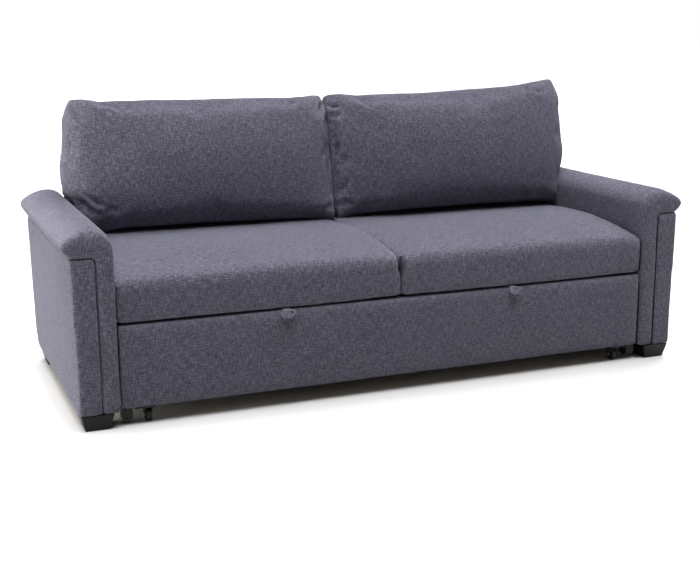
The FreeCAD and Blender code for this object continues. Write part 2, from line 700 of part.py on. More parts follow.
def guide_rail():
    """Channel that the bed base's roller runs in, with a strip above it that is screwed to the arm."""
    x1 = RAIL_FACE_X
    x0 = x1 - RAIL_WIDTH
    z0, z1 = ROLLER_Z - RAIL_HEIGHT / 2, ROLLER_Z + RAIL_HEIGHT / 2
    inside = (RAIL_FRONT_Y - OVERSHOOT, RAIL_REAR_Y + OVERSHOOT)
    block = box((x0, x1), (RAIL_FRONT_Y, RAIL_REAR_Y), (z0, z1))
    channel = block.cut(box((x0 - OVERSHOOT, x1 - RAIL_WALL), inside, (z0 + RAIL_WALL, z1 - RAIL_WALL)))
    strip = box((x1 - RAIL_WALL, x1), (RAIL_FRONT_Y, RAIL_REAR_Y), (z1 - RAIL_WALL / 2, z1 + RAIL_FLANGE))
    rail = fused([channel, strip])
    for y in rail_screw_ys():
        rail = rail.cut(rail_screw_hole(y))
    return [rail]


def rail_stops():
    """Rubber blocks in the ends of the guide rails, which stop the rollers."""
    xs = (RAIL_FACE_X - RAIL_WIDTH, RAIL_FACE_X - RAIL_WALL)
    half = RAIL_HEIGHT / 2 - RAIL_WALL
    stops = []
    for y in (RAIL_FRONT_Y, RAIL_REAR_Y - RAIL_STOP):
        stop = box(xs, (y, y + RAIL_STOP), (ROLLER_Z - half, ROLLER_Z + half))
        stops += [stop, mirrored(stop, -1)]
    return stops


def rail_screws():
    """Headed screws that hold the guide rails."""
    x, z = RAIL_FACE_X - RAIL_WALL, RAIL_SCREW_Z
    screws = []
    for y in rail_screw_ys():
        head = rod((x - RAIL_SCREW_HEAD, y, z), (x, y, z), RAIL_SCREW_HEAD_R)
        shank = rod((x - RAIL_SCREW_HEAD / 2, y, z), (RAIL_FACE_X + RAIL_SCREW_BITE, y, z), RAIL_SCREW_R)
        screw = fused([head, shank])
        screws += [screw, mirrored(screw, -1)]
    return screws


# Bed base

def front_pad():
    """Padded face of the bed base, between the arms."""
    pad = box((-FRONT_X, FRONT_X), (FRONT_Y, BOARD_Y), (FRONT_BOTTOM, FRONT_TOP))
    return pad.makeFillet(FRONT_EDGE_R, [e for e in pad.Edges if e.BoundBox.YMax < FRONT_Y + FRONT_PAD / 2])


def base_frame():
    """Sides, rear, two long rails and the caster cleats of the bed base."""
    x, t = BASE_HALF_WIDTH, BASE_BOARD
    y0, y1 = BASE_FRONT_Y, BASE_REAR_Y
    side = box((x - t, x), (y0, y1), (FRONT_BOTTOM, BASE_TOP)).cut(roller_hole())
    rear = box((-x + t, x - t), (y1 - t, y1), (FRONT_BOTTOM, BASE_TOP))
    rails = []
    for rail_x in (-BASE_RAIL_X, BASE_RAIL_X):
        rails.append(box((rail_x - BASE_RAIL / 2, rail_x + BASE_RAIL / 2), (y0, y1 - t),
                         (BASE_TOP - BASE_RAIL_HEIGHT, BASE_TOP)))
    cleats = []
    for ys in ((y0, y0 + CLEAT_DEPTH), (y1 - t - CLEAT_DEPTH, y1 - t)):
        cleats.append(box((-x + t, x - t), ys, (FRONT_BOTTOM, FRONT_BOTTOM + CLEAT_HEIGHT)))
    for hole in caster_screw_holes():
        cleats = [c.cut(hole) for c in cleats]
    return [side, mirrored(side, -1), rear] + rails + cleats


def base_board():
    """Board behind the padded face."""
    x = FRONT_X - BOARD_INSET
    board = box((-x, x), (BOARD_Y, BASE_FRONT_Y), (FRONT_BOTTOM, FRONT_TOP - BOARD_INSET))
    for hole in caster_screw_holes():
        board = board.cut(hole)
    return board


def base_slats():
    """Long slats over the bed base's frame."""
    room = BASE_REAR_Y - BASE_FRONT_Y - SLAT_WIDTH
    x = BASE_HALF_WIDTH - SLAT_INSET
    slats = []
    for i in range(SLAT_COUNT):
        y = BASE_FRONT_Y + room * i / (SLAT_COUNT - 1)
        slats.append(box((-x, x), (y, y + SLAT_WIDTH), (BASE_TOP, SLAT_TOP)))
    return slats


def deck_section(x, crown):
    """Section of the deck pad from front to back."""
    y0, y1 = BASE_FRONT_Y + TOUCH, BASE_REAR_Y
    z0 = SLAT_TOP + TOUCH
    edge = z0 + DECK_EDGE
    c = DECK_CORNER
    bend, rise = 0.3 * c, 0.45 * c
    return outline(
        in_yz(x),
        (y0 + bend, z0), (y0, z0 + bend), (y0, edge), ((y0 + bend, edge + rise), (y0 + c, edge + 1.5 * rise)),
        (((y0 + y1) / 2, crown), (y1 - c, edge + 1.5 * rise)), ((y1 - bend, edge + rise), (y1, edge)),
        (y1, z0 + bend), (y1 - bend, z0),
    )


def deck_pad():
    """Thin crowned pad on the slats."""
    x = BASE_HALF_WIDTH - DECK_INSET
    low = DECK_TOP - DECK_CROWN / 2
    end = low - DECK_CROWN / 4
    stations = [(-x, end), (-x + DECK_END, low), (0.0, DECK_TOP), (x - DECK_END, low), (x, end)]
    return loft([deck_section(px, crown) for px, crown in stations])


def roller_hole():
    """Hole for the roller's bolt in the bed base's side."""
    x = BASE_HALF_WIDTH
    return rod((x - BASE_BOARD - OVERSHOOT, ROLLER_Y, ROLLER_Z), (x + OVERSHOOT, ROLLER_Y, ROLLER_Z),
               ROLLER_BORE_R)


def roller_bolt():
    """Bolt, collar and end flange that carry a guide roller."""
    y, z = ROLLER_Y, ROLLER_Z
    x_in, x_out = BASE_HALF_WIDTH - BASE_BOARD, BASE_HALF_WIDTH
    shank_r = ROLLER_BORE_R - SHAFT_GAP
    end = ROLLER_OUT_X + TOUCH
    return [fused([
        rod((x_in - ROLLER_HEAD, y, z), (x_in, y, z), ROLLER_HEAD_R),
        rod((x_in - ROLLER_HEAD / 2, y, z), (end + ROLLER_FLANGE / 2, y, z), shank_r),
        rod((x_out, y, z), (ROLLER_IN_X - TOUCH, y, z), ROLLER_COLLAR_R),
        rod((end, y, z), (end + ROLLER_FLANGE, y, z), ROLLER_COLLAR_R),
    ])]


def roller():
    """Nylon roller that runs in a guide rail."""
    y, z = ROLLER_Y, ROLLER_Z
    wheel = rod((ROLLER_IN_X, y, z), (ROLLER_OUT_X, y, z), ROLLER_R)
    wheel = wheel.makeFillet(ROLLER_EDGE, round_edges(wheel, ROLLER_R))
    return [wheel.cut(rod((ROLLER_IN_X - OVERSHOOT, y, z), (ROLLER_OUT_X + OVERSHOOT, y, z), ROLLER_BORE_R))]


# Casters, drawn at the right-hand side

def caster_screw_holes():
    """Holes for the caster screws, in the plates, the board and the cleats."""
    holes = []
    for y in WHEEL_YS.values():
        for dy in CASTER_SCREW_YS:
            for side in SIDES.values():
                x = side * (WHEEL_X + CASTER_SCREW_X)
                z0 = FRONT_BOTTOM - CASTER_PLATE - OVERSHOOT
                holes.append(rod((x, y + dy, z0), (x, y + dy, FRONT_BOTTOM + CASTER_SCREW_BITE + HOLE_END),
                                 CASTER_SCREW_R + SHAFT_GAP))
    return holes


def caster_screws():
    """Round-headed screws under the caster plates."""
    z = FRONT_BOTTOM - CASTER_PLATE
    screws = []
    for y in WHEEL_YS.values():
        for dy in CASTER_SCREW_YS:
            for side in SIDES.values():
                x = side * (WHEEL_X + CASTER_SCREW_X)
                head = rod((x, y + dy, z - CASTER_SCREW_HEAD), (x, y + dy, z), CASTER_SCREW_HEAD_R)
                shank = rod((x, y + dy, z - CASTER_SCREW_HEAD / 2), (x, y + dy, FRONT_BOTTOM + CASTER_SCREW_BITE),
                            CASTER_SCREW_R)
                screws.append(fused([head, shank]))
    return screws


def caster_bracket(y):
    """Plate with two ears for a wheel that rolls along the sofa's depth."""
    z1 = FRONT_BOTTOM
    z0 = z1 - CASTER_PLATE
    plate = box((WHEEL_X - CASTER_PLATE_IN, WHEEL_X + CASTER_PLATE_OUT),
                (y - CASTER_PLATE_FRONT, y + CASTER_PLATE_REAR), (z0, z1))
    half = CASTER_EAR_FOOT / 2
    foot_z = WHEEL_R - half
    ears = []
    for inner in (WHEEL_X - WHEEL_WIDTH / 2 - WHEEL_GAP - CASTER_EAR, WHEEL_X + WHEEL_WIDTH / 2 + WHEEL_GAP):
        wire = outline(
            in_yz(inner),
            (y - CASTER_EAR_TOP / 2, z0 + CASTER_PLATE / 2), (y + CASTER_EAR_TOP / 2, z0 + CASTER_PLATE / 2),
            (y + half, foot_z + half),
            ((y, foot_z), (y - half, foot_z + half)),
        )
        ears.append(slab(wire, (CASTER_EAR, 0, 0)))
    bracket = fused([plate] + ears)
    reach = WHEEL_WIDTH / 2 + WHEEL_GAP + CASTER_EAR + OVERSHOOT
    bracket = bracket.cut(rod((WHEEL_X - reach, y, WHEEL_R), (WHEEL_X + reach, y, WHEEL_R), AXLE_R + SHAFT_GAP))
    for hole in caster_screw_holes():
        bracket = bracket.cut(hole)
    return bracket


def caster_axle(y):
    """Pin through the ears and the wheel, with a head at each end."""
    reach = WHEEL_WIDTH / 2 + WHEEL_GAP + CASTER_EAR
    z = WHEEL_R
    pin = rod((WHEEL_X - reach - AXLE_HEAD, y, z), (WHEEL_X + reach + AXLE_HEAD, y, z), AXLE_R)
    heads = [
        rod((WHEEL_X - reach - AXLE_HEAD, y, z), (WHEEL_X - reach, y, z), AXLE_HEAD_R),
        rod((WHEEL_X + reach, y, z), (WHEEL_X + reach + AXLE_HEAD, y, z), AXLE_HEAD_R),
    ]
    return fused([pin] + heads)


def caster_wheel(y):
    """Wheel with rounded edges and a bore."""
    x0, x1 = WHEEL_X - WHEEL_WIDTH / 2, WHEEL_X + WHEEL_WIDTH / 2
    wheel = rod((x0, y, WHEEL_R), (x1, y, WHEEL_R), WHEEL_R)
    wheel = wheel.makeFillet(WHEEL_TREAD, round_edges(wheel, WHEEL_R))
    return wheel.cut(rod((x0 - OVERSHOOT, y, WHEEL_R), (x1 + OVERSHOOT, y, WHEEL_R), AXLE_R + SHAFT_GAP))


def corner_glide():
    """Skid under the corner of the bed base's front, with a raised toe."""
    z1 = FRONT_BOTTOM
    z0 = z1 - GLIDE_HEIGHT
    y0 = FRONT_Y + GLIDE_SETBACK
    y1 = y0 + GLIDE_DEPTH
    wire = outline(
        in_yz(GLIDE_OUT - GLIDE_WIDTH),
        (y0, z1), (y0, z0 + GLIDE_TOE),
        ((y0 + 0.3 * GLIDE_TOE, z0 + 0.3 * GLIDE_TOE), (y0 + GLIDE_TOE, z0)),
        (y1 - GLIDE_TOE, z0), ((y1 - 0.3 * GLIDE_TOE, z0 + 0.3 * GLIDE_TOE), (y1, z0 + GLIDE_TOE)), (y1, z1),
    )
    return [slab(wire, (GLIDE_WIDTH, 0, 0))]


def pull_tab(x, width, skew):
    """Folded fabric tab at the seam, with a tail tucked over the front board."""
    top = FRONT_TOP + TAB_LIFT + TAB_TAIL
    low = top - TAB_HEIGHT
    y1 = FRONT_Y - TOUCH
    y0 = y1 - TAB_THICKNESS
    half = width / 2
    wire = outline(
        in_xz(y0),
        (x - half, top - 0.2 * TAB_HEIGHT), ((x - 0.7 * half + skew, low + 0.2 * TAB_HEIGHT), (x + skew, low)),
        ((x + 0.75 * half, low + 0.3 * TAB_HEIGHT), (x + half, top - 0.25 * TAB_HEIGHT)),
        (x + 0.8 * half, top), (x - 0.75 * half, top),
    )
    leaf = slab(wire, (0, TAB_THICKNESS, 0))
    tail = box((x - TAB_TAIL_WIDTH / 2, x + TAB_TAIL_WIDTH / 2),
               (y1 - TAB_THICKNESS / 2, y1 + TAB_TAIL_DEPTH), (top - TAB_TAIL, top))
    return fused([leaf, tail])


# Back cushions

def cushion_ring(z, half, edge, crown, swell):
    """Level outline of a back cushion: swelling faces between four seams."""
    return outline(
        lambda p: Vec(p[0], p[1], z),
        (-half, 0.0), ((0.0, -crown), (half, 0.0)), ((half + swell, edge / 2), (half, edge)),
        ((0.0, edge + crown), (-half, edge)), ((-half - swell, edge / 2), (-half, 0.0)),
    )


def cushion_room(side):
    """Blocks that bound a cushion: the seat, the arms, the fixed back and the other cushion."""
    reach = ARM_OUT + FLARE
    behind, over_arm = DEPTH + CUSHION_EDGE, ARM_CREST + ARM_REAR_RISE + CUSHION_LIFT_CLEAR
    blocks = [box((-reach, reach), (0.0, behind), (0.0, SEAT_REST_Z + TOUCH))]
    for arm_side in SIDES.values():
        blocks.append(box((arm_side * (ARM_IN - TOUCH), arm_side * reach), (0.0, behind), (0.0, over_arm)))
    start, face, over = back_pad_face(TOUCH)
    rear = outline(in_yz(-reach), start, face, over, (behind, BACK_HEIGHT), (behind, BACK_PAD_FOOT_Z))
    blocks.append(slab(rear, (2 * reach, 0, 0)))
    meet = CUSHION_MEET_X + side * CUSHION_MEET_GAP / 2
    blocks.append(box((meet, meet - side * reach), (0.0, behind), (0.0, 2 * BACK_HEIGHT)))
    return blocks


def cushion(side, place, turn):
    """Crowned cushion with drawn-in corners, set down on the seat and leaned back."""
    half, high = CUSHION_WIDTH / 2, CUSHION_HEIGHT
    edge, crown, swell = CUSHION_EDGE, CUSHION_CROWN, CUSHION_SIDE_SWELL
    narrow = (edge - CUSHION_TOP_EDGE) / 2
    wires = []
    for level, inset, taper, bulge, puff in CUSHION_RINGS:
        wire = cushion_ring(level * high, half - inset, edge - 2 * narrow * taper, crown * bulge, swell * puff)
        wire.translate(Vec(0, narrow * taper, 0))
        wires.append(wire)
    body = loft(wires)
    yaw, lean, roll = turn
    from_arm, from_back, above = place
    origin = Vec(0, 0, 0)
    body.rotate(origin, Vec(0, 1, 0), roll)
    body.rotate(origin, Vec(1, 0, 0), -lean)
    body.rotate(origin, Vec(0, 0, 1), -yaw)
    body.translate(Vec(side * (ARM_IN - from_arm), DEPTH - from_back, SEAT_REST_Z + above))
    return body.cut(cushion_room(side))


def build():
    """Model every part under its node's name."""
    add_pair("arm_frame", arm_frame)
    add_pair("arm_front_panel", arm_front_panel)
    add_pair("arm_side_panel", arm_side_panel)
    add_pair("arm_rear_panel", arm_rear_panel)
    add_pair("arm_pad", arm_pad)
    bolts = []
    for end, y in (("front", FOOT_FRONT_Y), ("rear", FOOT_REAR_Y)):
        add_pair("foot_" + end, lambda y=y: [foot_at(foot_x(), y)])
        bolts += [foot_bolt(y), mirrored(foot_bolt(y), -1)]
    add("foot_bolts", *bolts)
    add("back_frame", *back_frame())
    add("back_pad", back_pad())
    add("back_panel", back_panel())
    add("back_webbing", *back_webbing())
    add("seat_frame", *seat_frame())
    add("seat_springs", *seat_springs())
    add("seat_bolts", *seat_bolts())
    add_pair("seat_cushion", seat_cushion)
    add("seat_dust_cover", box((-SEAT_FRAME_X, SEAT_FRAME_X), (SEAT_FRAME_FRONT_Y, BACK_FRAME_Y),
                               (SEAT_RAIL_BOTTOM - DUST_COVER, SEAT_RAIL_BOTTOM)))
    add_pair("guide_rail", guide_rail)
    add("rail_stops", *rail_stops())
    add("rail_screws", *rail_screws())
    add("bed_front_pad", front_pad())
    add("bed_front_board", base_board())
    add("bed_frame", *base_frame())
    add("bed_slats", *base_slats())
    add("bed_deck_pad", deck_pad())
    add_pair("roller_bolt", roller_bolt)
    add_pair("guide_roller", roller)
    axles = []
    for end, y in WHEEL_YS.items():
        add_pair("caster_bracket_" + end, lambda y=y: [caster_bracket(y)])
        add_pair("caster_wheel_" + end, lambda y=y: [caster_wheel(y)])
        axles += [caster_axle(y), mirrored(caster_axle(y), -1)]
    add("caster_axles", *axles)
    add("caster_screws", *caster_screws())
    add_pair("corner_glide", corner_glide)
    add("pull_tab_left", pull_tab(TAB_LEFT_X, TAB_LEFT_WIDTH, TAB_LEFT_SKEW))
    add("pull_tab_right", pull_tab(TAB_RIGHT_X, TAB_RIGHT_WIDTH, TAB_RIGHT_SKEW))
    add("back_cushion_left", cushion(SIDES["left"], LEFT_CUSHION_AT, LEFT_CUSHION_TURN))
    add("back_cushion_right", cushion(SIDES["right"], RIGHT_CUSHION_AT, RIGHT_CUSHION_TURN))


def write():
    """Move every part to the shared origin and write one file for each node."""
    os.makedirs("parts", exist_ok=True)
    for name, shapes in PARTS.items():
        solids = []
        for shape in shapes:
            moved = shape.copy()
            moved.translate(Vec(0, -DEPTH / 2, 0))
            solids += moved.Solids
        whole = solids[0] if len(solids) == 1 else Part.makeCompound(solids)
        whole.exportStep("parts/" + name + ".step")
        print(name, len(solids), "solids", round(sum(s.Volume for s in solids) / 1000.0, 1), "cm3",
              "valid" if whole.isValid() else "NOT VALID")


build()
write()
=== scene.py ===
import sys

import json
import logging
import math
from collections.abc import Iterable, Mapping, Sequence
from dataclasses import dataclass
from enum import Enum
from functools import cached_property
from itertools import product

import bmesh
import bpy
import numpy as np
from mathutils import Matrix, Vector, noise

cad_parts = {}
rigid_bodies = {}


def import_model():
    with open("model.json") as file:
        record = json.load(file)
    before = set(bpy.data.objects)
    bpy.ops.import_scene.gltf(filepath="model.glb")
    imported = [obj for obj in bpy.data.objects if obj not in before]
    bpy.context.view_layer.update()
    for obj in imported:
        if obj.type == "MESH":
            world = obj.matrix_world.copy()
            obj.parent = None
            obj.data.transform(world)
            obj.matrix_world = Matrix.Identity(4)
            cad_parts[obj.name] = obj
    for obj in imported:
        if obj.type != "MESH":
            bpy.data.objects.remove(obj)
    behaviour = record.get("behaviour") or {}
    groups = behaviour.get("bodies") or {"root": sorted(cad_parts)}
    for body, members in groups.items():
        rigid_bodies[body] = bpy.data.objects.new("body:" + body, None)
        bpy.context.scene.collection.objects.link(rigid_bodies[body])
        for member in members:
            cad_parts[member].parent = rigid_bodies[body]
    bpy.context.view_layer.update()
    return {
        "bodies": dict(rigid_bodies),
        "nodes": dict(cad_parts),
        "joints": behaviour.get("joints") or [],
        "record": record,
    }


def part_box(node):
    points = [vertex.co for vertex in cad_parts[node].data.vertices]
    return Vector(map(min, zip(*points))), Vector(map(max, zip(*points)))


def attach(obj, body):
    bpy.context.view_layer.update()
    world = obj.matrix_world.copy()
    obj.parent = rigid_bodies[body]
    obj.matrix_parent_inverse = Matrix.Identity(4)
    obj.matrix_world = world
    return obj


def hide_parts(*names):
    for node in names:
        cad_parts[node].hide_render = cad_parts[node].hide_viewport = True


LOG = logging.getLogger("sofa")

Colour = tuple[float, float, float]
Point = tuple[float, float, float]
Array = np.ndarray

WELD = 1e-5  # points closer than this are one point
TINY = 1e-9  # keeps a division away from zero

# What more than one method goes by, with the lengths in metres
DECK_QUILTS = 8  # strips between the rows of quilting
TAB_FLARE = 0.0110  # how far the foot of a pull tab stands out
STRIP_CELL = 0.02  # size of the faces of thin strips
# The fixed back's front face: heights of its foot and top, how far back they are, and where it ends
BACK_HEIGHTS = (0.404, 0.710)
BACK_DEPTHS = (0.3342, 0.3882)
BACK_TOP = 0.741
NO_LIMIT = 2.0  # further out than any piece


class Side(Enum):
    """Which end of the sofa a piece is at, as seen from the front."""

    LEFT = -1
    RIGHT = 1

    @property
    def tag(self) -> str:
        """The side's name in the names of nodes."""
        return self.name.lower()

    def mirrored(self, low: Point, high: Point) -> tuple[Point, Point]:
        """This side's box, for one whose x is measured outwards from the middle."""
        near, far = sorted((self.value * low[0], self.value * high[0]))
        return (near, *low[1:]), (far, *high[1:])


def configured(item: object, settings: Mapping[str, object]) -> object:
    """Set attributes of an item and return it.

    Args:
        item: A node, a modifier, or other data.
        settings: Its attributes and their values.

    Returns:
        The item.
    """
    for key, value in settings.items():
        setattr(item, key, value)
    return item


def placed(name: str, data: bpy.types.ID) -> bpy.types.Object:
    """Put a mesh, a lamp or a camera into the scene.

    Args:
        name: The new object's name.
        data: What it shows.

    Returns:
        The object.
    """
    made = bpy.data.objects.new(name, data)
    bpy.context.scene.collection.objects.link(made)
    return made


# Node trees


class Tree:
    """A node tree that nodes are added to."""

    def __init__(self, tree: bpy.types.NodeTree) -> None:
        """Start with no nodes."""
        tree.nodes.clear()
        self.tree = tree

    def node(self, kind: str, sockets: Mapping[str | int, object] | None = None,
             **settings: object) -> bpy.types.Node:
        """Add a node, with its settings first and its inputs after them.

        Args:
            kind: The node's type.
            sockets: Values, sockets or terms for its inputs, by name or number.
            settings: Attributes of the node; "stops" sets a ramp's places and colours.

        Returns:
            The node.
        """
        stops = settings.pop("stops", ())
        made = configured(self.tree.nodes.new(kind), settings)
        if stops:
            self._grade(made.color_ramp.elements, stops)
        for key, value in (sockets or {}).items():
            value = value.socket if isinstance(value, Term) else value
            if isinstance(value, bpy.types.NodeSocket):
                self.tree.links.new(value, made.inputs[key])
            else:
                made.inputs[key].default_value = value
        return made

    @staticmethod
    def _grade(elements: bpy.types.ColorRampElements, stops: Sequence[tuple[float, Colour]]) -> None:
        """Give a ramp its stops.

        Args:
            elements: The stops that the ramp has.
            stops: Places from 0 to 1 and their colours.
        """
        while len(elements) < len(stops):
            elements.new(1.0)
        for element, (position, colour) in zip(elements, stops):
            element.position = position
            element.color = solid(colour)


class Term:
    """A shader socket that can take part in arithmetic."""

    def __init__(self, kit: "ShaderTree", socket: bpy.types.NodeSocket) -> None:
        """Wrap a socket.

        Args:
            kit: The tree that the socket belongs to.
            socket: An output that carries one number.
        """
        self.kit = kit
        self.socket = socket

    def _math(self, operation: str, *values: "Term | float") -> "Term":
        """Add a Math node and return its result as a term."""
        return self.kit.term("ShaderNodeMath", dict(enumerate(values)), operation=operation)

    def __add__(self, other: "Term | float") -> "Term":
        """Sum."""
        return self._math("ADD", self, other)

    def __radd__(self, other: float) -> "Term":
        """Sum with a number on the left."""
        return self._math("ADD", other, self)

    def __sub__(self, other: "Term | float") -> "Term":
        """Difference."""
        return self._math("SUBTRACT", self, other)

    def __rsub__(self, other: float) -> "Term":
        """Difference with a number on the left."""
        return self._math("SUBTRACT", other, self)

    def __mul__(self, other: "Term | float") -> "Term":
        """Product."""
        return self._math("MULTIPLY", self, other)

    def __rmul__(self, other: float) -> "Term":
        """Product with a number on the left."""
        return self._math("MULTIPLY", other, self)

    def __pow__(self, power: float) -> "Term":
        """Power."""
        return self._math("POWER", self, power)

    def sine(self) -> "Term":
        """Sine of the term, in radians."""
        return self._math("SINE", self)

    def most(self, other: "Term | float") -> "Term":
        """The larger of two."""
        return self._math("MAXIMUM", self, other)

    def between(self, low: float, high: float) -> "Term":
        """Smooth step from 0 at low to 1 at high."""
        return self.kit.term("ShaderNodeMapRange", {"Value": self, "From Min": low, "From Max": high},
                             interpolation_type="SMOOTHSTEP")


class ShaderTree(Tree):
    """The node tree of a material or of the surroundings."""

    def __init__(self, owner: bpy.types.Material | bpy.types.World) -> None:
        """Take over the tree.

        Args:
            owner: What the tree belongs to.
        """
        owner.use_nodes = True
        super().__init__(owner.node_tree)
        self.owner = owner

    def term(self, kind: str, sockets: Mapping[str | int, object] | None = None, output: str | int = 0,
             **settings: object) -> Term:
        """Add a node and return one of its outputs as a term."""
        return Term(self, self.node(kind, sockets, **settings).outputs[output])

    def place(self) -> bpy.types.NodeSocket:
        """The coordinates of the object itself."""
        return self.node("ShaderNodeTexCoord").outputs["Object"]

    def axes(self, place: bpy.types.NodeSocket, scale: float, count: int = 3) -> list[Term]:
        """The first coordinates of a place, each multiplied by a scale."""
        split = self.node("ShaderNodeSeparateXYZ", {0: place})
        return [Term(self, split.outputs[i]) * scale for i in range(count)]

    def noise(self, place: bpy.types.NodeSocket, scale: Point, detail: float = 2.0,
              rough: float = 0.5) -> Term:
        """Noise over coordinates that are stretched by a scale on each axis.

        Args:
            place: The coordinates.
            scale: Cells per metre on each axis.
            detail: Octaves.
            rough: How much the small octaves count.

        Returns:
            The noise, from 0 to 1.
        """
        mapped = self.node("ShaderNodeMapping", {"Vector": place, "Scale": scale})
        return self.term("ShaderNodeTexNoise", {"Vector": mapped.outputs[0], "Scale": 1.0, "Detail": detail,
                                                "Roughness": rough})

    def ramp(self, amount: Term, *stops: tuple[float, Colour]) -> bpy.types.NodeSocket:
        """Colour by a ramp and return the colour's socket."""
        return self.node("ShaderNodeValToRGB", {0: amount}, stops=stops).outputs[0]

    def mix(self, amount: Term, first: object, second: object) -> bpy.types.NodeSocket:
        """Mix two colours and return the colour's socket."""
        return self.node("ShaderNodeMix", {0: amount, 6: first, 7: second}, data_type="RGBA").outputs[2]

    def bump(self, height: Term, distance: float, strength: float) -> bpy.types.NodeSocket:
        """Relief of a height, as the socket of a normal."""
        return self.node("ShaderNodeBump", {"Height": height, "Distance": distance,
                                            "Strength": strength}).outputs[0]

    def seen(self) -> Term:
        """1 for what the camera sees, also in gloss and through clear things, and 0 for other light.

        Returns:
            The number.
        """
        rays = self.node("ShaderNodeLightPath").outputs
        camera, glossy, clear = (
            Term(self, rays[f"Is {ray} Ray"]) for ray in ("Camera", "Glossy", "Transmission")
        )
        return camera.most(glossy).most(clear)

    def finish(self, **sockets: object) -> bpy.types.Material:
        """Close the tree with a Principled shader.

        Args:
            sockets: Its inputs, with _ for a space in a name.

        Returns:
            The material.
        """
        shader = self.node("ShaderNodeBsdfPrincipled", {k.replace("_", " "): v for k, v in sockets.items()})
        self.node("ShaderNodeOutputMaterial", {"Surface": shader.outputs[0]})
        return self.owner


def srgb(red: int, green: int, blue: int) -> Colour:
    """Linear colour of an 8-bit screen colour."""
    parts = (c / 255 for c in (red, green, blue))
    return tuple(((c + 0.055) / 1.055) ** 2.4 if c > 0.04045 else c / 12.92 for c in parts)


def solid(colour: Colour) -> tuple[float, float, float, float]:
    """Colour with full alpha, as a socket takes it."""
    return (*colour, 1.0)


# Finishes


@dataclass(frozen=True)
class Cloth:
    """Melange cloth: warp and weft threads of several shades, with slubs and a light nap.

    The lengths are in metres, and a gain says how much one thing counts in the shade. Hollows get painted
    shade and proud parts a painted highlight.
    """

    name: str
    dark: Colour = (0.076, 0.073, 0.108)
    shade: Colour = (0.150, 0.146, 0.206)
    pale: Colour = (0.310, 0.302, 0.385)
    tint: Colour = (0.80, 0.81, 0.96)
    pitch: float = 0.0022
    slub: float = 0.0032
    slub_run: float = 0.020
    dash: float = 0.0040
    dash_stretch: float = 0.15
    relief: float = 0.0034
    nap: float = 0.45
    pale_gain: float = 0.26
    dark_gain: float = 0.20
    thread_gain: float = 0.75
    cloud_gain: float = 0.2
    wear_gain: float = 0.55
    seam_gain: float = 2.2
    seam_shade: float = 0.35

    @cached_property
    def material(self) -> bpy.types.Material:
        """The cloth's material, on the piece's own map in metres.

        Returns:
            The material.
        """
        kit = ShaderTree(bpy.data.materials.new(self.name))
        place = kit.node("ShaderNodeUVMap", uv_map="cloth").outputs[0]
        wear = kit.term("ShaderNodeAttribute", output="Fac", attribute_name="wear")
        run, fat, thin, dash = 1 / self.slub_run, 1 / self.slub, 1 / self.pitch, 1 / self.dash
        warp = kit.noise(place, (fat, run, 1.0), 1.0)
        weft = kit.noise(place, (run * 1.2, fat * 1.1, 1.0), 1.0)
        fine_warp = kit.noise(place, (thin * 1.5, thin * 0.12, 1.0), 1.0)
        fine_weft = kit.noise(place, (thin * 0.12, thin * 1.5, 1.0), 1.0)
        dash_warp = kit.noise(place, (dash, dash * self.dash_stretch, 1.0), 1.0, 0.7)
        dash_weft = kit.noise(place, (dash * self.dash_stretch, dash, 1.0), 1.0, 0.7)
        cloud = kit.noise(place, (9.0, 7.0, 1.0))
        pale_thread = warp.between(0.56, 0.70) + weft.between(0.56, 0.70)
        dark_thread = (1.0 - warp).between(0.57, 0.70) + (1.0 - weft).between(0.57, 0.70)
        shade = 0.5 + pale_thread * self.pale_gain - dark_thread * self.dark_gain
        for thread in (fine_warp, fine_weft, dash_warp, dash_weft):
            shade = shade + (thread - 0.5) * self.thread_gain
        # Painted shade and highlight: points sunk under their surroundings are darker, proud ones lighter.
        shade = shade + (cloud - 0.5) * self.cloud_gain + (wear - 0.5) * self.wear_gain
        face = kit.ramp(shade, (0.12, self.dark), (0.5, self.shade), (0.9, self.pale))
        # Painted shadow: the deepest hollows, along seams and creases, are mixed towards a dark shade of the
        # cloth.
        seam = (wear * self.seam_gain).between(0.0, 1.0)
        colour = kit.mix(seam, solid(tuple(self.seam_shade * c for c in self.dark)), face)
        across, along = kit.axes(place, math.tau / self.pitch, 2)
        weave = across.sine() * along.sine() * 0.5 + 0.5
        height = weave * 0.4 + (warp + weft) * 0.6 + fine_warp * 0.3 + (dash_warp + dash_weft) * 0.8
        return kit.finish(
            Base_Color=colour, Roughness=0.88 + (warp - 0.5) * 0.12, Specular_IOR_Level=0.2,
            Normal=kit.bump(height, self.relief, 1.0), Sheen_Weight=self.nap, Sheen_Roughness=0.38,
            Sheen_Tint=solid(self.tint),
        )


@dataclass(frozen=True)
class Timber:
    """Planed softwood with growth rings, drawn along the longest side of the pieces."""

    name: str
    early: Colour = srgb(186, 172, 148)
    late: Colour = srgb(148, 128, 102)
    along: int = 0
    ring: float = 0.011
    rings: float = 26.0
    fibre: float = 900.0

    @cached_property
    def material(self) -> bpy.types.Material:
        """The timber's material, on object coordinates.

        Returns:
            The material.
        """
        kit = ShaderTree(bpy.data.materials.new(self.name))
        place = kit.place()
        stretch = [1 / self.ring] * 3
        stretch[self.along] = 1.2
        grain = kit.noise(place, tuple(stretch), 3.0, 0.55)
        fibre = kit.noise(place, tuple(self.fibre if i != self.along else 9.0 for i in range(3)))
        stain = kit.noise(place, (4.0, 4.0, 4.0))
        ring = ((grain * self.rings).sine() * 0.5 + 0.5) ** 2.0
        tone = ring * 0.55 + fibre * 0.35 + (stain - 0.5) * 0.5
        return kit.finish(Base_Color=kit.ramp(tone, (0.1, self.early), (0.85, self.late)),
                          Roughness=0.62 + (fibre - 0.5) * 0.2,
                          Normal=kit.bump(fibre + ring * 0.3, 0.0004, 0.6))


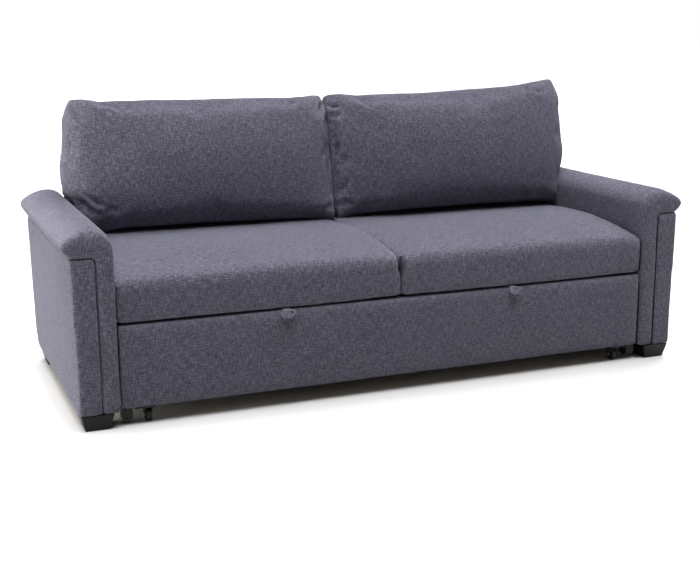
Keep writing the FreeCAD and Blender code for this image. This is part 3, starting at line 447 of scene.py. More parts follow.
@dataclass(frozen=True)
class Hard:
    """Lacquer, moulded plastic, rubber or plated metal: a base shade with scuffs and fine grain."""

    name: str
    shade: Colour
    scuff: Colour
    rough: float = 0.5
    metal: float = 0.0
    grain: float = 700.0
    relief: float = 0.0001
    coat: float = 0.0
    gloss: float = 0.3

    @cached_property
    def material(self) -> bpy.types.Material:
        """The finish's material, on object coordinates.

        Returns:
            The material.
        """
        kit = ShaderTree(bpy.data.materials.new(self.name))
        place = kit.place()
        grain = kit.noise(place, (self.grain,) * 3)
        cloud = kit.noise(place, (38.0,) * 3, 4.0, 0.6)
        marks = cloud.between(0.56, 0.74) * 0.5 + (grain - 0.5) * 0.3
        colour = kit.mix(marks, solid(self.shade), solid(self.scuff))
        rough = self.rough + (cloud - 0.5) * 0.22
        return kit.finish(Base_Color=colour, Metallic=self.metal, Roughness=rough,
                          Normal=kit.bump(grain, self.relief, 0.7), Coat_Weight=self.coat, Coat_Roughness=0.2,
                          Specular_IOR_Level=self.gloss)


@dataclass(frozen=True)
class Strap:
    """Flat woven strap or thin non-woven cloth, nearly black."""

    name: str
    shade: Colour = srgb(16, 16, 24)
    thread: Colour = srgb(36, 36, 48)
    pitch: float = 0.0024

    @cached_property
    def material(self) -> bpy.types.Material:
        """The strap's material, on object coordinates.

        Returns:
            The material.
        """
        kit = ShaderTree(bpy.data.materials.new(self.name))
        place = kit.place()
        x, y, z = kit.axes(place, math.tau / self.pitch)
        weave = (x.sine() * (y + z).sine()) * 0.5 + 0.5
        fluff = kit.noise(place, (240.0,) * 3, 3.0)
        colour = kit.mix(weave * 0.6 + fluff * 0.4, solid(self.shade), solid(self.thread))
        return kit.finish(Base_Color=colour, Roughness=0.86 + (fluff - 0.5) * 0.1,
                          Normal=kit.bump(weave + fluff * 0.4, 0.0005, 0.8))


@dataclass(frozen=True)
class Finishes:
    """The finishes of this sofa, each named for its material slot."""

    upholstery: Cloth = Cloth("upholstery")
    # Painted highlight: the tab cloth is the upholstery made paler, for the light that the flared tabs catch.
    tab_cloth: Cloth = Cloth("tab_cloth", (0.115, 0.112, 0.155), (0.220, 0.215, 0.290), (0.40, 0.39, 0.47),
                             nap=0.6)
    deck_cloth: Cloth = Cloth("deck_cloth", (0.030, 0.031, 0.038), (0.060, 0.061, 0.073),
                              (0.110, 0.112, 0.130), nap=0.3)
    timber: Timber = Timber("timber")
    plank: Timber = Timber("side_timber", along=1)
    foot_wood: Hard = Hard("foot_wood", srgb(17, 17, 18), srgb(34, 33, 33), 0.46, grain=260.0, coat=0.06,
                           gloss=0.2)
    zinc_steel: Hard = Hard("zinc_steel", srgb(178, 178, 174), srgb(140, 140, 138), 0.36, 1.0)
    spring_steel: Hard = Hard("spring_steel", srgb(92, 92, 94), srgb(62, 60, 60), 0.38, 1.0)
    black_cloth: Strap = Strap("black_cloth")
    black_rubber: Hard = Hard("black_rubber", srgb(26, 26, 26), srgb(48, 48, 48), 0.75)
    bracket_paint: Hard = Hard("bracket_paint", srgb(22, 22, 23), srgb(52, 52, 54), 0.45, grain=1500.0)
    black_plastic: Hard = Hard("black_plastic", srgb(15, 15, 16), srgb(34, 34, 36), 0.5, grain=1100.0,
                               gloss=0.25)
    thread: Hard = Hard("sewing_thread", srgb(92, 92, 110), srgb(120, 120, 138), 0.7, grain=2400.0)
    white_nylon: Hard = Hard("white_nylon", srgb(226, 224, 216), srgb(196, 192, 182), 0.48)


# Meshes


def read(items: bpy.types.bpy_prop_collection, field: str, width: int = 1, kind: type = float) -> Array:
    """Read a field of a mesh's points, edges, corners or faces.

    Args:
        items: The points, edges, corners or faces.
        field: The field's name.
        width: How many numbers it holds.
        kind: Their type.

    Returns:
        One row for each item, or one number where the width is 1.
    """
    flat = np.empty(len(items) * width, kind)
    items.foreach_get(field, flat)
    return flat.reshape(-1, width) if width > 1 else flat


class Skin:
    """A closed triangle or quad mesh, shaped by moving its points as arrays."""

    def __init__(self, name: str, shell: bmesh.types.BMesh) -> None:
        """Turn a loose mesh into a new object.

        Args:
            name: The object's name.
            shell: The mesh, in its place, which is freed.
        """
        mesh = bpy.data.meshes.new(name)
        shell.to_mesh(mesh)
        shell.free()
        self.object = placed(name, mesh)

    @classmethod
    def of_node(cls, name: str, node: str, voxel: float) -> "Skin":
        """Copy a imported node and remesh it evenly.

        Args:
            name: The new object's name.
            node: The node to copy.
            voxel: The size of the even faces.

        Returns:
            The skin.
        """
        shell = bmesh.new()
        shell.from_mesh(bpy.data.objects[node].data)
        bmesh.ops.remove_doubles(shell, verts=shell.verts, dist=WELD)
        return cls(name, shell).modified("REMESH", mode="VOXEL", voxel_size=voxel, use_smooth_shade=True)

    def modified(self, kind: str, **settings: object) -> "Skin":
        """Apply a modifier to the mesh."""
        configured(self.object.modifiers.new(kind.title(), kind), settings)
        return self.applied()

    def evaluated(self) -> bpy.types.Mesh:
        """A new mesh, as the modifiers leave it now."""
        view = bpy.context.evaluated_depsgraph_get()
        return bpy.data.meshes.new_from_object(self.object.evaluated_get(view))

    def applied(self) -> "Skin":
        """Replace the mesh by what its modifiers make of it.

        Returns:
            The skin.
        """
        fresh, old = self.evaluated(), self.object.data
        self.object.modifiers.clear()
        self.object.data = fresh
        bpy.data.meshes.remove(old)
        fresh.name = self.object.name
        return self

    @property
    def points(self) -> Array:
        """The points, one row each."""
        return read(self.object.data.vertices, "co", 3)

    @points.setter
    def points(self, points: Array) -> None:
        """Move the points."""
        self.object.data.vertices.foreach_set("co", np.ascontiguousarray(points, float).ravel())
        self.object.data.update()

    @property
    def normals(self) -> Array:
        """The points' normals, one row each."""
        return read(self.object.data.vertices, "normal", 3)

    def averaged(self, points: Array, times: int, factor: float = 0.5) -> Array:
        """Points drawn towards the middle of their neighbours.

        Args:
            points: The points.
            times: How often.
            factor: How far each time.

        Returns:
            The drawn points.
        """
        first, second = read(self.object.data.edges, "vertices", 2, int).T
        many = len(points)
        count = np.bincount(np.concatenate([first, second]), minlength=many)[:, None]
        for _ in range(times):
            total = np.stack([
                np.bincount(first, row[second], many) + np.bincount(second, row[first], many)
                for row in points.T
            ], 1)
            points = points + factor * (total / count - points)
        return points

    def relax(self, times: int, factor: float = 0.5) -> "Skin":
        """Round the mesh off."""
        self.points = self.averaged(self.points, times, factor)
        return self

    def ruffle(self, height: float, span: float, seed: int, stretch: Point = (1.0, 1.0, 1.0)) -> "Skin":
        """Move the points along their normals by smooth noise.

        Args:
            height: The largest move.
            span: The size of a swell.
            seed: Shifts the noise.
            stretch: How much longer a swell is along each axis.

        Returns:
            The skin.
        """
        points = self.points
        scaled = points / (span * np.array(stretch)) + seed * 7.31
        lift = np.array([noise.noise(Vector(p)) for p in scaled]) * height
        self.points = points + self.normals * lift[:, None]
        return self

    def swollen(self, by: float | Array) -> "Skin":
        """Move the points outwards by a distance."""
        self.points = self.points + self.normals * by
        return self

    def filled_out(self, node: str, axis: int, way: int, swell: float) -> "Skin":
        """Push one face of a board out, most in its middle and not at its edges.

        Args:
            node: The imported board.
            axis: The axis that the face looks along.
            way: The sign of that direction.
            swell: How far the middle moves.

        Returns:
            The skin.
        """
        low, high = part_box(node)
        points, share = self.points, np.clip(self.normals[:, axis] * way, 0.0, 1.0)
        for k in (i for i in range(3) if i != axis):
            t = np.clip((points[:, k] - low[k]) / (high[k] - low[k]), 0.0, 1.0)
            share = share * (1.0 - (2.0 * t - 1.0) ** 6)
        points[:, axis] += way * swell * share
        self.points = points
        return self

    def crease(self, path: Sequence[Point], depth: float, width: float, drop: int | None = None,
               where: Array | float = 1.0) -> "Skin":
        """Press a soft crease along a row of points, with a low ridge beside it.

        Args:
            path: The crease's points.
            depth: How deep it is in its middle.
            width: Half its width.
            drop: An axis that is left out of the distance from the path.
            where: How much each point takes part.

        Returns:
            The skin.
        """
        start, away = self.points, self.normals
        near, share = np.full(len(start), np.inf), np.zeros(len(start))
        points, nodes = start.copy(), np.array(path, float)
        if drop is not None:
            points[:, drop] = nodes[:, drop] = 0.0
        runs = np.linalg.norm(np.diff(nodes, axis=0), axis=1)
        starts = np.concatenate([[0.0], np.cumsum(runs)]) / runs.sum()
        for i, run in enumerate(runs):
            way = (nodes[i + 1] - nodes[i]) / run
            t = np.clip((points - nodes[i]) @ way, 0.0, run)
            gap = np.linalg.norm(points - nodes[i] - t[:, None] * way, axis=1)
            closer = gap < near
            near = np.where(closer, gap, near)
            share = np.where(closer, starts[i] + t / run * (starts[i + 1] - starts[i]), share)
        taper = np.sin(np.clip(share, 0.0, 1.0) * math.pi) ** 0.6
        valley = np.exp(-((near / width) ** 2))
        ridge = np.exp(-(((near - 2.1 * width) / width) ** 2))
        self.points = start - away * (depth * taper * (valley - 0.4 * ridge) * where)[:, None]
        return self

    def kept_in(self, low: Point, high: Point) -> "Skin":
        """Hold the points inside a box."""
        self.points = np.clip(self.points, np.array(low), np.array(high))
        return self

    def dressed(self, material: bpy.types.Material) -> "Skin":
        """Smooth the faces, map them in metres, mark edges and folds for painted shade and highlight, and
        give them a material.

        Args:
            material: What the piece is made of.

        Returns:
            The skin.
        """
        mesh = self.object.data
        mesh.polygons.foreach_set("use_smooth", np.ones(len(mesh.polygons), bool))
        mesh.materials.clear()
        mesh.materials.append(material)
        self._map()
        self._mark_wear()
        return self

    def _map(self) -> None:
        """Map each face from the side that it faces most, in metres."""
        mesh = self.object.data
        facing = np.abs(read(mesh.polygons, "normal", 3)).argmax(1)
        face = np.repeat(facing, read(mesh.polygons, "loop_total", kind=int))
        place = self.points[read(mesh.loops, "vertex_index", kind=int)]
        across = np.where(face == 0, place[:, 1], place[:, 0])
        along = np.where(face == 2, place[:, 1], place[:, 2])
        layer = mesh.uv_layers.new(name="cloth")
        layer.data.foreach_set("uv", np.stack([across, along], 1).ravel())

    def _mark_wear(self, spread: int = 6, gain: float = 130.0) -> None:
        """Store how far each point stands proud of, or under, the ground around it: 0.5 is level. The cloth
        paints shade into the hollows and a highlight onto the proud parts from it.

        Args:
            spread: How many rounds of drawing together make the ground.
            gain: Share for each metre.
        """
        points = self.points
        proud = ((points - self.averaged(points, spread)) * self.normals).sum(1)
        layer = self.object.data.attributes.new("wear", "FLOAT", "POINT")
        layer.data.foreach_set("value", np.clip(0.5 + proud * gain, 0.0, 1.0).astype(np.float32))

    def ride(self, body: str, *nodes: str, slot: str = "upholstery") -> bpy.types.Object:
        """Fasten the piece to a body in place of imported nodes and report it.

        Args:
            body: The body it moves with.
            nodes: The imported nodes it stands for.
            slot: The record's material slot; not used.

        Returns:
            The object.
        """
        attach(self.object, body)
        if nodes:
            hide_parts(*nodes)
        LOG.info("%s: %d faces on %s", self.object.name, len(self.object.data.polygons), body)
        return self.object


def round_corner(points: Array, axes: tuple[int, int], corner: tuple[float, float], inward: tuple[int, int],
                 radius: float) -> Array:
    """Round one corner of a board's outline.

    Args:
        points: The points.
        axes: The two axes of the outline.
        corner: The sharp corner's place on them.
        inward: The signs of the way in from the corner on each axis.
        radius: The corner's radius.

    Returns:
        The moved points.
    """
    a, b = axes
    centre = [c + w * radius for c, w in zip(corner, inward)]
    da, db = points[:, a] - centre[0], points[:, b] - centre[1]
    outside = (da * inward[0] < 0) & (db * inward[1] < 0)
    reach = np.hypot(da, db)
    share = np.where(outside & (reach > radius), radius / np.maximum(reach, TINY), 1.0)
    points[:, a] = centre[0] + da * share
    points[:, b] = centre[1] + db * share
    return points


def strip(name: str, low: Point, high: Point, material: bpy.types.Material, bevel: float = 0.0008) -> Skin:
    """Thin padded strip with soft edges, cut into small faces.

    Args:
        name: Its name.
        low: Its lowest corner.
        high: Its highest corner.
        material: What it is made of.
        bevel: How round its edges are.

    Returns:
        The strip.
    """
    shell = bmesh.new()
    size = [h - l for l, h in zip(low, high)]
    middle = [(l + h) / 2 for l, h in zip(low, high)]
    bmesh.ops.create_cube(shell, size=1.0, matrix=Matrix.Translation(middle) @ Matrix.Diagonal((*size, 1.0)))
    bmesh.ops.bevel(shell, geom=shell.edges, offset=bevel, segments=2, affect="EDGES")
    for axis in range(3):
        way = [float(k == axis) for k in range(3)]
        for i in range(1, int(size[axis] / STRIP_CELL)):
            place = list(middle)
            place[axis] = low[axis] + i * STRIP_CELL
            geom = shell.verts[:] + shell.edges[:] + shell.faces[:]
            bmesh.ops.bisect_plane(shell, geom=geom, plane_co=place, plane_no=way)
    return Skin(name, shell).dressed(material)


def quilt_lines(low: Point, high: Point) -> Array:
    """Where the rows of quilting lie across the deck."""
    return np.linspace(low[0], high[0], DECK_QUILTS + 1)[1:-1]


# Geometry nodes


class RowOfPieces(Tree):
    """Geometry nodes that set copies of a small rounded piece along a path."""

    def __init__(self, name: str, material: bpy.types.Material) -> None:
        """Build the tree.

        Args:
            name: The tree's name.
            material: What the copies are made of.
        """
        super().__init__(bpy.data.node_groups.new(name, "GeometryNodeTree"))
        face, self.sockets = self.tree.interface, {}
        face.new_socket("Geometry", in_out="INPUT", socket_type="NodeSocketGeometry")
        for label in ("Spacing", "Length", "Radius"):
            made = face.new_socket(label, in_out="INPUT", socket_type="NodeSocketFloat")
            self.sockets[label] = made.identifier
        face.new_socket("Geometry", in_out="OUTPUT", socket_type="NodeSocketGeometry")
        given = self.node("NodeGroupInput").outputs
        curve = self.node("GeometryNodeMeshToCurve", {0: given["Geometry"]})
        spots = self.node("GeometryNodeResampleCurve",
                          {"Curve": curve.outputs[0], "Length": given["Spacing"]}, mode="LENGTH")
        dots = self.node("GeometryNodeCurveToPoints", {"Curve": spots.outputs[0]}, mode="EVALUATED").outputs
        grain = self.node("GeometryNodeMeshUVSphere", {"Segments": 8, "Rings": 6, "Radius": 1.0})
        size = self.node("ShaderNodeCombineXYZ", {0: given["Radius"], 1: given["Radius"], 2: given["Length"]})
        half = self.node("ShaderNodeVectorMath", {0: size.outputs[0], 1: (1.0, 1.0, 0.5)},
                         operation="MULTIPLY")
        copies = self.node("GeometryNodeInstanceOnPoints", {
            "Points": dots["Points"], "Instance": grain.outputs["Mesh"], "Rotation": dots["Rotation"],
            "Scale": half.outputs[0]})
        real = self.node("GeometryNodeRealizeInstances", {0: copies.outputs[0]})
        smooth = self.node("GeometryNodeSetShadeSmooth", {0: real.outputs[0]})
        done = self.node("GeometryNodeSetMaterial", {"Geometry": smooth.outputs[0], "Material": material})
        self.node("NodeGroupOutput", {0: done.outputs[0]})

    def along(self, name: str, paths: Iterable[Sequence[Point]], **sizes: float) -> Skin:
        """Set the pieces along paths and turn them into one plain mesh.

        Args:
            name: The new object's name.
            paths: Rows of points.
            sizes: The tree's inputs, in metres.

        Returns:
            The row.
        """
        line = bmesh.new()
        for path in paths:
            knots = [line.verts.new(p) for p in path]
            for ends in zip(knots, knots[1:]):
                line.edges.new(ends)
        skin = Skin(name, line)
        modifier = skin.object.modifiers.new("Row", "NODES")
        modifier.node_group = self.tree
        for label, value in sizes.items():
            modifier[self.sockets[label]] = value
        return skin.applied()


# Sub-assemblies


@dataclass
class Cushion:
    """A loose box cushion: two faces sewn to a strip, filled, and leaned on the back."""

    side: Side
    finish: Cloth
    place: Point
    turn: Point
    # Each crease: its points as shares of half the width and of the height, its depth, and half its width
    creases: Sequence[tuple[Sequence[tuple[float, float]], float, float]] = ()
    over: float = 0.012
    over_top: float = 1.0
    corner_lift: float = 0.0
    width: float = 0.944
    height: float = 0.462
    edge: float = 0.132
    top_edge: float = 0.104
    ear_width: float = 0.10
    ear_height: float = 0.14
    ear_pinch: float = 0.5
    crown: float = 0.052
    swell: float = 0.014
    lid: float = 0.012
    seam_depth: float = 0.0018
    slack: float = 0.022
    gap: float = 0.0005
    meet: float = 0.012
    arm_in: float = 0.935
    arm_turn: float = 0.592
    arm_top: float = 0.6225
    arm_slope: float = 1.2
    seat_top: float = 0.4823
    cell: float = 0.0105
    fill_steps: int = 20
    fill_most: float = 0.024
    # Up the cushion: share of its height, inset of the seams, taper, swell of the faces, swell of the sides
    rings: Sequence[tuple[float, float, float, float, float]] = (
        (0.0, 0.010, 0.0, 0.0, 0.10), (0.06, 0.005, 0.0, 0.22, 0.35), (0.15, 0.002, 0.0, 0.50, 0.60),
        (0.28, 0.001, 0.0, 0.80, 0.85), (0.42, 0.0, 0.0, 0.97, 1.0), (0.56, 0.001, 0.0, 1.0, 0.85),
        (0.70, 0.002, 0.0, 0.82, 0.70), (0.82, 0.004, 0.2, 0.54, 0.50), (0.92, 0.007, 0.5, 0.25, 0.25),
        (0.97, 0.009, 0.8, 0.10, 0.12), (1.0, 0.012, 1.0, 0.0, 0.05),
    )

    @property
    def node(self) -> str:
        """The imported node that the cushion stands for."""
        return f"back_cushion_{self.side.tag}"

    def _shell(self) -> Skin:
        """The sewn cover: even faces on a unit box, which is then crowned.

        Returns:
            The cover.
        """
        counts = [max(4, round(size / self.cell)) for size in (self.width, self.edge, self.height)]
        shell = bmesh.new()
        knots: dict[tuple[int, ...], bmesh.types.BMVert] = {}
        for axis in range(3):
            a, b = (k for k in range(3) if k != axis)
            for level, i, j in product((0, counts[axis]), range(counts[a]), range(counts[b])):
                ring = []
                for di, dj in ((0, 0), (1, 0), (1, 1), (0, 1)):
                    index = [level] * 3
                    index[a], index[b] = i + di, j + dj
                    key = tuple(index)
                    if key not in knots:
                        knots[key] = shell.verts.new([k / n for k, n in zip(key, counts)])
                    ring.append(knots[key])
                shell.faces.new(ring)
        bmesh.ops.recalc_face_normals(shell, faces=shell.faces)
        skin = Skin(f"cushion_{self.side.tag}", shell)
        self._seams(skin)
        self._crown(skin)
        return skin

    @staticmethod
    def _seams(skin: Skin) -> None:
        """Remember which points lie on the two seams round the faces.

        Args:
            skin: The cover.
        """
        x, y, z = skin.points.T
        rim = (np.minimum(x, 1 - x) < WELD) | (np.minimum(z, 1 - z) < WELD)
        group = skin.object.vertex_groups.new(name="seam")
        group.add([int(i) for i in np.nonzero(rim & (np.minimum(y, 1 - y) < WELD))[0]], 1.0, "REPLACE")

    def _crown(self, skin: Skin) -> None:
        """Turn the unit box into the crowned cushion, drawn in at its corners.

        Args:
            skin: The cover.
        """
        x, y, z = skin.points.T
        levels = np.array(self.rings).T
        inset, taper, bulge, puff = (np.interp(z, levels[0], row) for row in levels[1:])
        s, t = 2 * x - 1, 2 * y - 1
        narrow = (self.edge - self.top_edge) / 2 * taper
        wide = self.width / 2 - inset + puff * self.swell * (1 - t ** 2)
        deep = self.edge / 2 - narrow + bulge * self.crown * (1 - np.abs(s) ** 3.0)
        ear = np.clip((np.abs(s) - 1.0) / self.ear_width + 1.0, 0.0, 1.0)
        deep = deep * (1 - self.ear_pinch * ear * np.clip((z - 1.0) / self.ear_height + 1.0, 0.0, 1.0))
        lid = self.lid * (1 - s ** 4) * (1 - 0.6 * t ** 2)
        up = z * self.height + np.where(z > 0.5, lid, -lid * 0.25)
        outer = np.clip(s * self.side.value, 0.0, 1.0)
        rise = np.clip((z - 0.14) / 0.3, 0.0, 1.0)
        fade = 1 - (1 - self.over_top) * np.clip((z - 0.55) / 0.45, 0.0, 1.0)
        wide = wide + outer ** 6 * self.over * rise * rise * (3 - 2 * rise) * fade
        up = up + outer ** 3 * z ** 3 * self.corner_lift
        skin.points = np.stack([s * wide, self.edge / 2 + t * deep, up], 1)

    def _fill(self, skin: Skin) -> None:
        """Blow the cover up as cloth, hold how far any point may move, and bring it back to its size.

        Args:
            skin: The cover.
        """
        start, scene = skin.points, bpy.context.scene
        modifier = skin.object.modifiers.new("Filling", "CLOTH")
        configured(modifier.settings, {
            "quality": 6, "mass": 0.4, "tension_stiffness": 34.0, "compression_stiffness": 34.0,
            "shear_stiffness": 12.0, "bending_stiffness": 0.9, "use_pressure": True,
            "uniform_pressure_force": 4.0,
        })
        modifier.settings.effector_weights.gravity = 0.0
        configured(modifier.point_cache, {"frame_start": 1, "frame_end": self.fill_steps})
        for frame in range(1, self.fill_steps + 1):
            scene.frame_set(frame)
        made = skin.evaluated()
        step = read(made.vertices, "co", 3) - start
        bpy.data.meshes.remove(made)
        skin.object.modifiers.clear()
        scene.frame_set(1)
        size = np.linalg.norm(step, axis=1, keepdims=True)
        filled = start + step * np.minimum(1.0, self.fill_most / np.maximum(size, TINY))
        low, high = filled.min(0), filled.max(0)
        goal_low, goal_high = start.min(0), start.max(0)
        goal_low[1], goal_high[1] = low[1] * 0.4 + goal_low[1] * 0.6, high[1] * 0.4 + goal_high[1] * 0.6
        skin.points = goal_low + (filled - low) / (high - low) * (goal_high - goal_low)

    def _pull_seams(self, skin: Skin) -> None:
        """Draw the seam lines into the cloth.

        Args:
            skin: The cover.
        """
        group = skin.object.vertex_groups["seam"].index
        on = np.array([any(g.group == group for g in v.groups) for v in skin.object.data.vertices])
        skin.swollen(-(self.seam_depth * on)[:, None])

    def _fold(self, skin: Skin) -> None:
        """Press the creases into the front face.

        Args:
            skin: The cover.
        """
        for path, depth, width in self.creases:
            front = np.clip(-skin.normals[:, 1] * 2.0, 0.0, 1.0)
            line = [(x * self.width / 2, 0.0, z * self.height) for x, z in path]
            skin.crease(line, depth, width, drop=1, where=front)

    def _set_down(self, skin: Skin) -> None:
        """Turn the cushion to its lean and stand it in its place.

        Args:
            skin: The cover.
        """
        yaw, lean, roll = (math.radians(a) for a in self.turn)
        turn = Matrix.Rotation(-yaw, 3, "Z") @ Matrix.Rotation(-lean, 3, "X") @ Matrix.Rotation(roll, 3, "Y")
        skin.points = skin.points @ np.array(turn).T + np.array(self.place)

    def _rest(self, skin: Skin) -> None:
        """Flatten the cushion where it meets the seat, the arm, the back and its neighbour.

        Args:
            skin: The cover.
        """
        way, points = self.side.value, skin.points
        points[:, 2] = np.clip(points[:, 2], self.seat_top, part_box(self.node)[1][2] + self.slack)
        points[:, 0] += way * np.maximum(0.0, (self.meet - points[:, 0]) * way + self.gap)
        height = points[:, 2]
        reach = self.arm_in - self.gap + np.clip(height - self.arm_turn, 0.0, None) * self.arm_slope
        reach = np.where(height < self.arm_top, reach, NO_LIMIT)
        points[:, 0] -= way * np.maximum(0.0, points[:, 0] * way - reach)
        back = np.where(height < BACK_TOP, np.interp(height, BACK_HEIGHTS, BACK_DEPTHS), NO_LIMIT)
        points[:, 1] = np.minimum(points[:, 1], back)
        skin.points = points

    def build(self) -> bpy.types.Object:
        """Sew, fill, place and dress the cushion.

        Returns:
            The cushion.
        """
        skin = self._shell()
        skin.relax(2, 0.35)
        self._fill(skin)
        self._pull_seams(skin)
        skin.modified("SUBSURF", levels=1, render_levels=1)
        skin.ruffle(0.0040, 0.15, 3 + self.side.value, (1.5, 1.0, 1.0))
        skin.ruffle(0.0012, 0.05, 5 + self.side.value)
        self._fold(skin)
        self._set_down(skin)
        self._rest(skin)
        skin.relax(1, 0.4)
        self._rest(skin)
        skin.dressed(self.finish.material)
        piece = skin.ride(self.node, self.node)
        return piece


@dataclass
class Seat:
    """Two upholstered seat halves that meet at a middle seam."""

    finishes: Finishes
    voxel: float = 0.0093
    corner: float = 0.018
    seam_reach: float = 0.020
    seam_close: float = 0.0032
    seam_valley: float = 0.0045
    seam_gap: float = 0.0003
    soften: float = 0.0012
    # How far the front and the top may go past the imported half
    slack: tuple[float, float] = (0.002, 0.004)
    # The black strip's lowest and highest corners; it is painted shade deep in the seam
    lining: tuple[Point, Point] = ((-0.0034, -0.4350, 0.396), (0.0034, -0.4240, 0.4500))
    wedge: float = 0.0098
    wedge_run: float = 0.03
    # Where the wedge starts: how far forward and how high
    wedge_from: tuple[float, float] = (-0.395, 0.378)
    # Each gather of the front roll: distance from the middle, depth, and how far it leans outwards
    gathers: Sequence[tuple[float, float, float]] = (
        (0.035, 0.0030, 0.02), (0.075, 0.0018, 0.02), (0.86, 0.0016, -0.015), (0.895, 0.0026, -0.015),
    )

    def build(self) -> None:
        """Model both halves, and a black strip deep in their seam as painted shade."""
        for side in Side:
            self._half(side)
        lining = strip("seat_seam_lining", *self.lining, self.finishes.black_cloth.material)
        lining.ride("sofa", slot="black_cloth")

    def _half(self, side: Side) -> None:
        """Model one half: rounded edges, a full top, a slack front and small gathers.

        Args:
            side: Which half.
        """
        node = f"seat_cushion_{side.tag}"
        skin = Skin.of_node(f"seat_{side.tag}", node, self.voxel).relax(4).swollen(self.soften)
        skin.ruffle(0.0030, 0.22, 11 + side.value, (1.6, 1.0, 1.0))
        skin.ruffle(0.0010, 0.06, 17 + side.value)
        low, high = (Vector(c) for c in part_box(node))
        self._meet(skin, side, low, high)
        for offset, depth, lean in self.gathers:
            x, lean = side.value * offset, side.value * lean
            path = [(x, -0.44, 0.455), (x + lean, -0.446, 0.40), (x + 1.6 * lean, -0.446, 0.345)]
            skin.crease(path, depth, 0.012)
        skin.modified("SUBSURF", levels=1, render_levels=1)
        low[1] -= self.slack[0]
        high[2] += self.slack[1]
        inner = high if side is Side.LEFT else low
        inner[0] = side.value * self.seam_gap
        skin.kept_in(low, high)
        skin.dressed(self.finishes.upholstery.material)
        skin.ride("sofa", node)

    def _meet(self, skin: Skin, side: Side, low: Vector, high: Vector) -> None:
        """Close the seam between the halves, open it as a wedge up the front, and round the lower corner.

        Args:
            skin: The half.
            side: Which half.
            low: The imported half's lowest corner.
            high: Its highest corner.
        """
        points = skin.points
        near = np.clip(1.0 - np.abs(points[:, 0]) / self.seam_reach, 0.0, 1.0)
        ahead, above = self.wedge_from[0] - points[:, 1], points[:, 2] - self.wedge_from[1]
        wedge = np.clip(ahead / self.wedge_run, 0.0, 1.0) * np.clip(above / self.wedge_run, 0.0, 1.0)
        points[:, 0] += side.value * near ** 0.6 * (self.wedge * wedge - self.seam_close * (1.0 - wedge))
        points[:, 2] -= self.seam_valley * near * np.clip(skin.normals[:, 2], 0.0, 1.0)
        outer = low[0] if side is Side.LEFT else high[0]
        face = points[:, 1] < low[1] + 0.05
        rounded = round_corner(points.copy(), (0, 2), (outer, low[2]), (-side.value, 1), self.corner)
        skin.points = np.where(face[:, None], rounded, points)


@dataclass
class Arm:
    """One arm: rolled pad, inset front panel, leaning outer panel, rear panel, and black strips as painted
    shade in its seam gaps.
    """

    side: Side
    finishes: Finishes
    # Each black strip, painted shade deep in a seam gap: its name and its box, with x measured outwards from
    # the middle of the sofa
    tapes: Sequence[tuple[str, Point, Point]] = (
        ("side", (0.9880, -0.4552, 0.0500), (0.9914, -0.4440, 0.5250)),
        ("top", (0.9900, -0.4552, 0.5248), (1.0610, -0.4440, 0.5282)),
        ("inner", (0.9326, -0.4415, 0.0560), (0.9349, -0.4000, 0.4250)),
    )
    # Each gather at the front of the roll: its place, how far it leans, and its depth
    gathers: Sequence[tuple[float, float, float, float]] = (
        (1.066, 0.556, -0.012, 0.0026), (1.045, 0.566, -0.006, 0.0016), (0.957, 0.56, 0.01, 0.0014),
    )

    def build(self) -> None:
        """Model the pad, the three panels, and the black strips of painted shade in the seam gaps round the
        front panel and down by the seat.
        """
        self._pad()
        self._panel("arm_front_panel", 1, -1, 0.0022, 0.006, 0.0004)
        self._panel("arm_side_panel", 0, self.side.value, 0.0042, 0.0085)
        self._panel("arm_rear_panel", 1, 1, 0.0025, 0.006)
        for stem, low, high in self.tapes:
            seam_shadow = strip(f"arm_tape_{stem}_{self.side.tag}", *self.side.mirrored(low, high),
                         self.finishes.black_cloth.material)
            seam_shadow.ride("sofa", slot="black_cloth")

    def _pad(self) -> None:
        """Round the pad off, with gathers at its front end and a slack top."""
        node, s = f"arm_pad_{self.side.tag}", self.side.value
        skin = Skin.of_node(f"arm_{self.side.tag}", node, 0.0078).relax(4).swollen(0.0013)
        skin.ruffle(0.0022, 0.2, 21 + s, (1.0, 2.2, 1.0))
        skin.ruffle(0.0008, 0.05, 23 + s)
        for x, z, lean, depth in self.gathers:
            path = [(s * x, -0.4575, z - 0.03), (s * (x + lean / 2), -0.452, z),
                    (s * (x + lean), -0.42, z + 0.04)]
            skin.crease(path, depth, 0.009)
        skin.modified("SUBSURF", levels=1, render_levels=1)
        skin.dressed(self.finishes.upholstery.material)
        skin.ride("sofa", node)

    def _panel(self, stem: str, axis: int, way: int, swell: float, voxel: float,
               loft: float = 0.0016) -> None:
        """Pad a board: soft edges and a slightly full face.

        Args:
            stem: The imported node's name without its side.
            axis: The axis that the board faces.
            way: The sign of that direction.
            swell: How full its face is.
            voxel: The size of its faces.
            loft: How thick the padding is all round.
        """
        node = f"{stem}_{self.side.tag}"
        skin = Skin.of_node(f"{stem.replace('arm_', '')}_{self.side.tag}", node, voxel).relax(3).swollen(loft)
        skin.filled_out(node, axis, way, swell).ruffle(0.0012, 0.13, 31 + self.side.value)
        skin.dressed(self.finishes.upholstery.material)
        skin.ride("sofa", node)


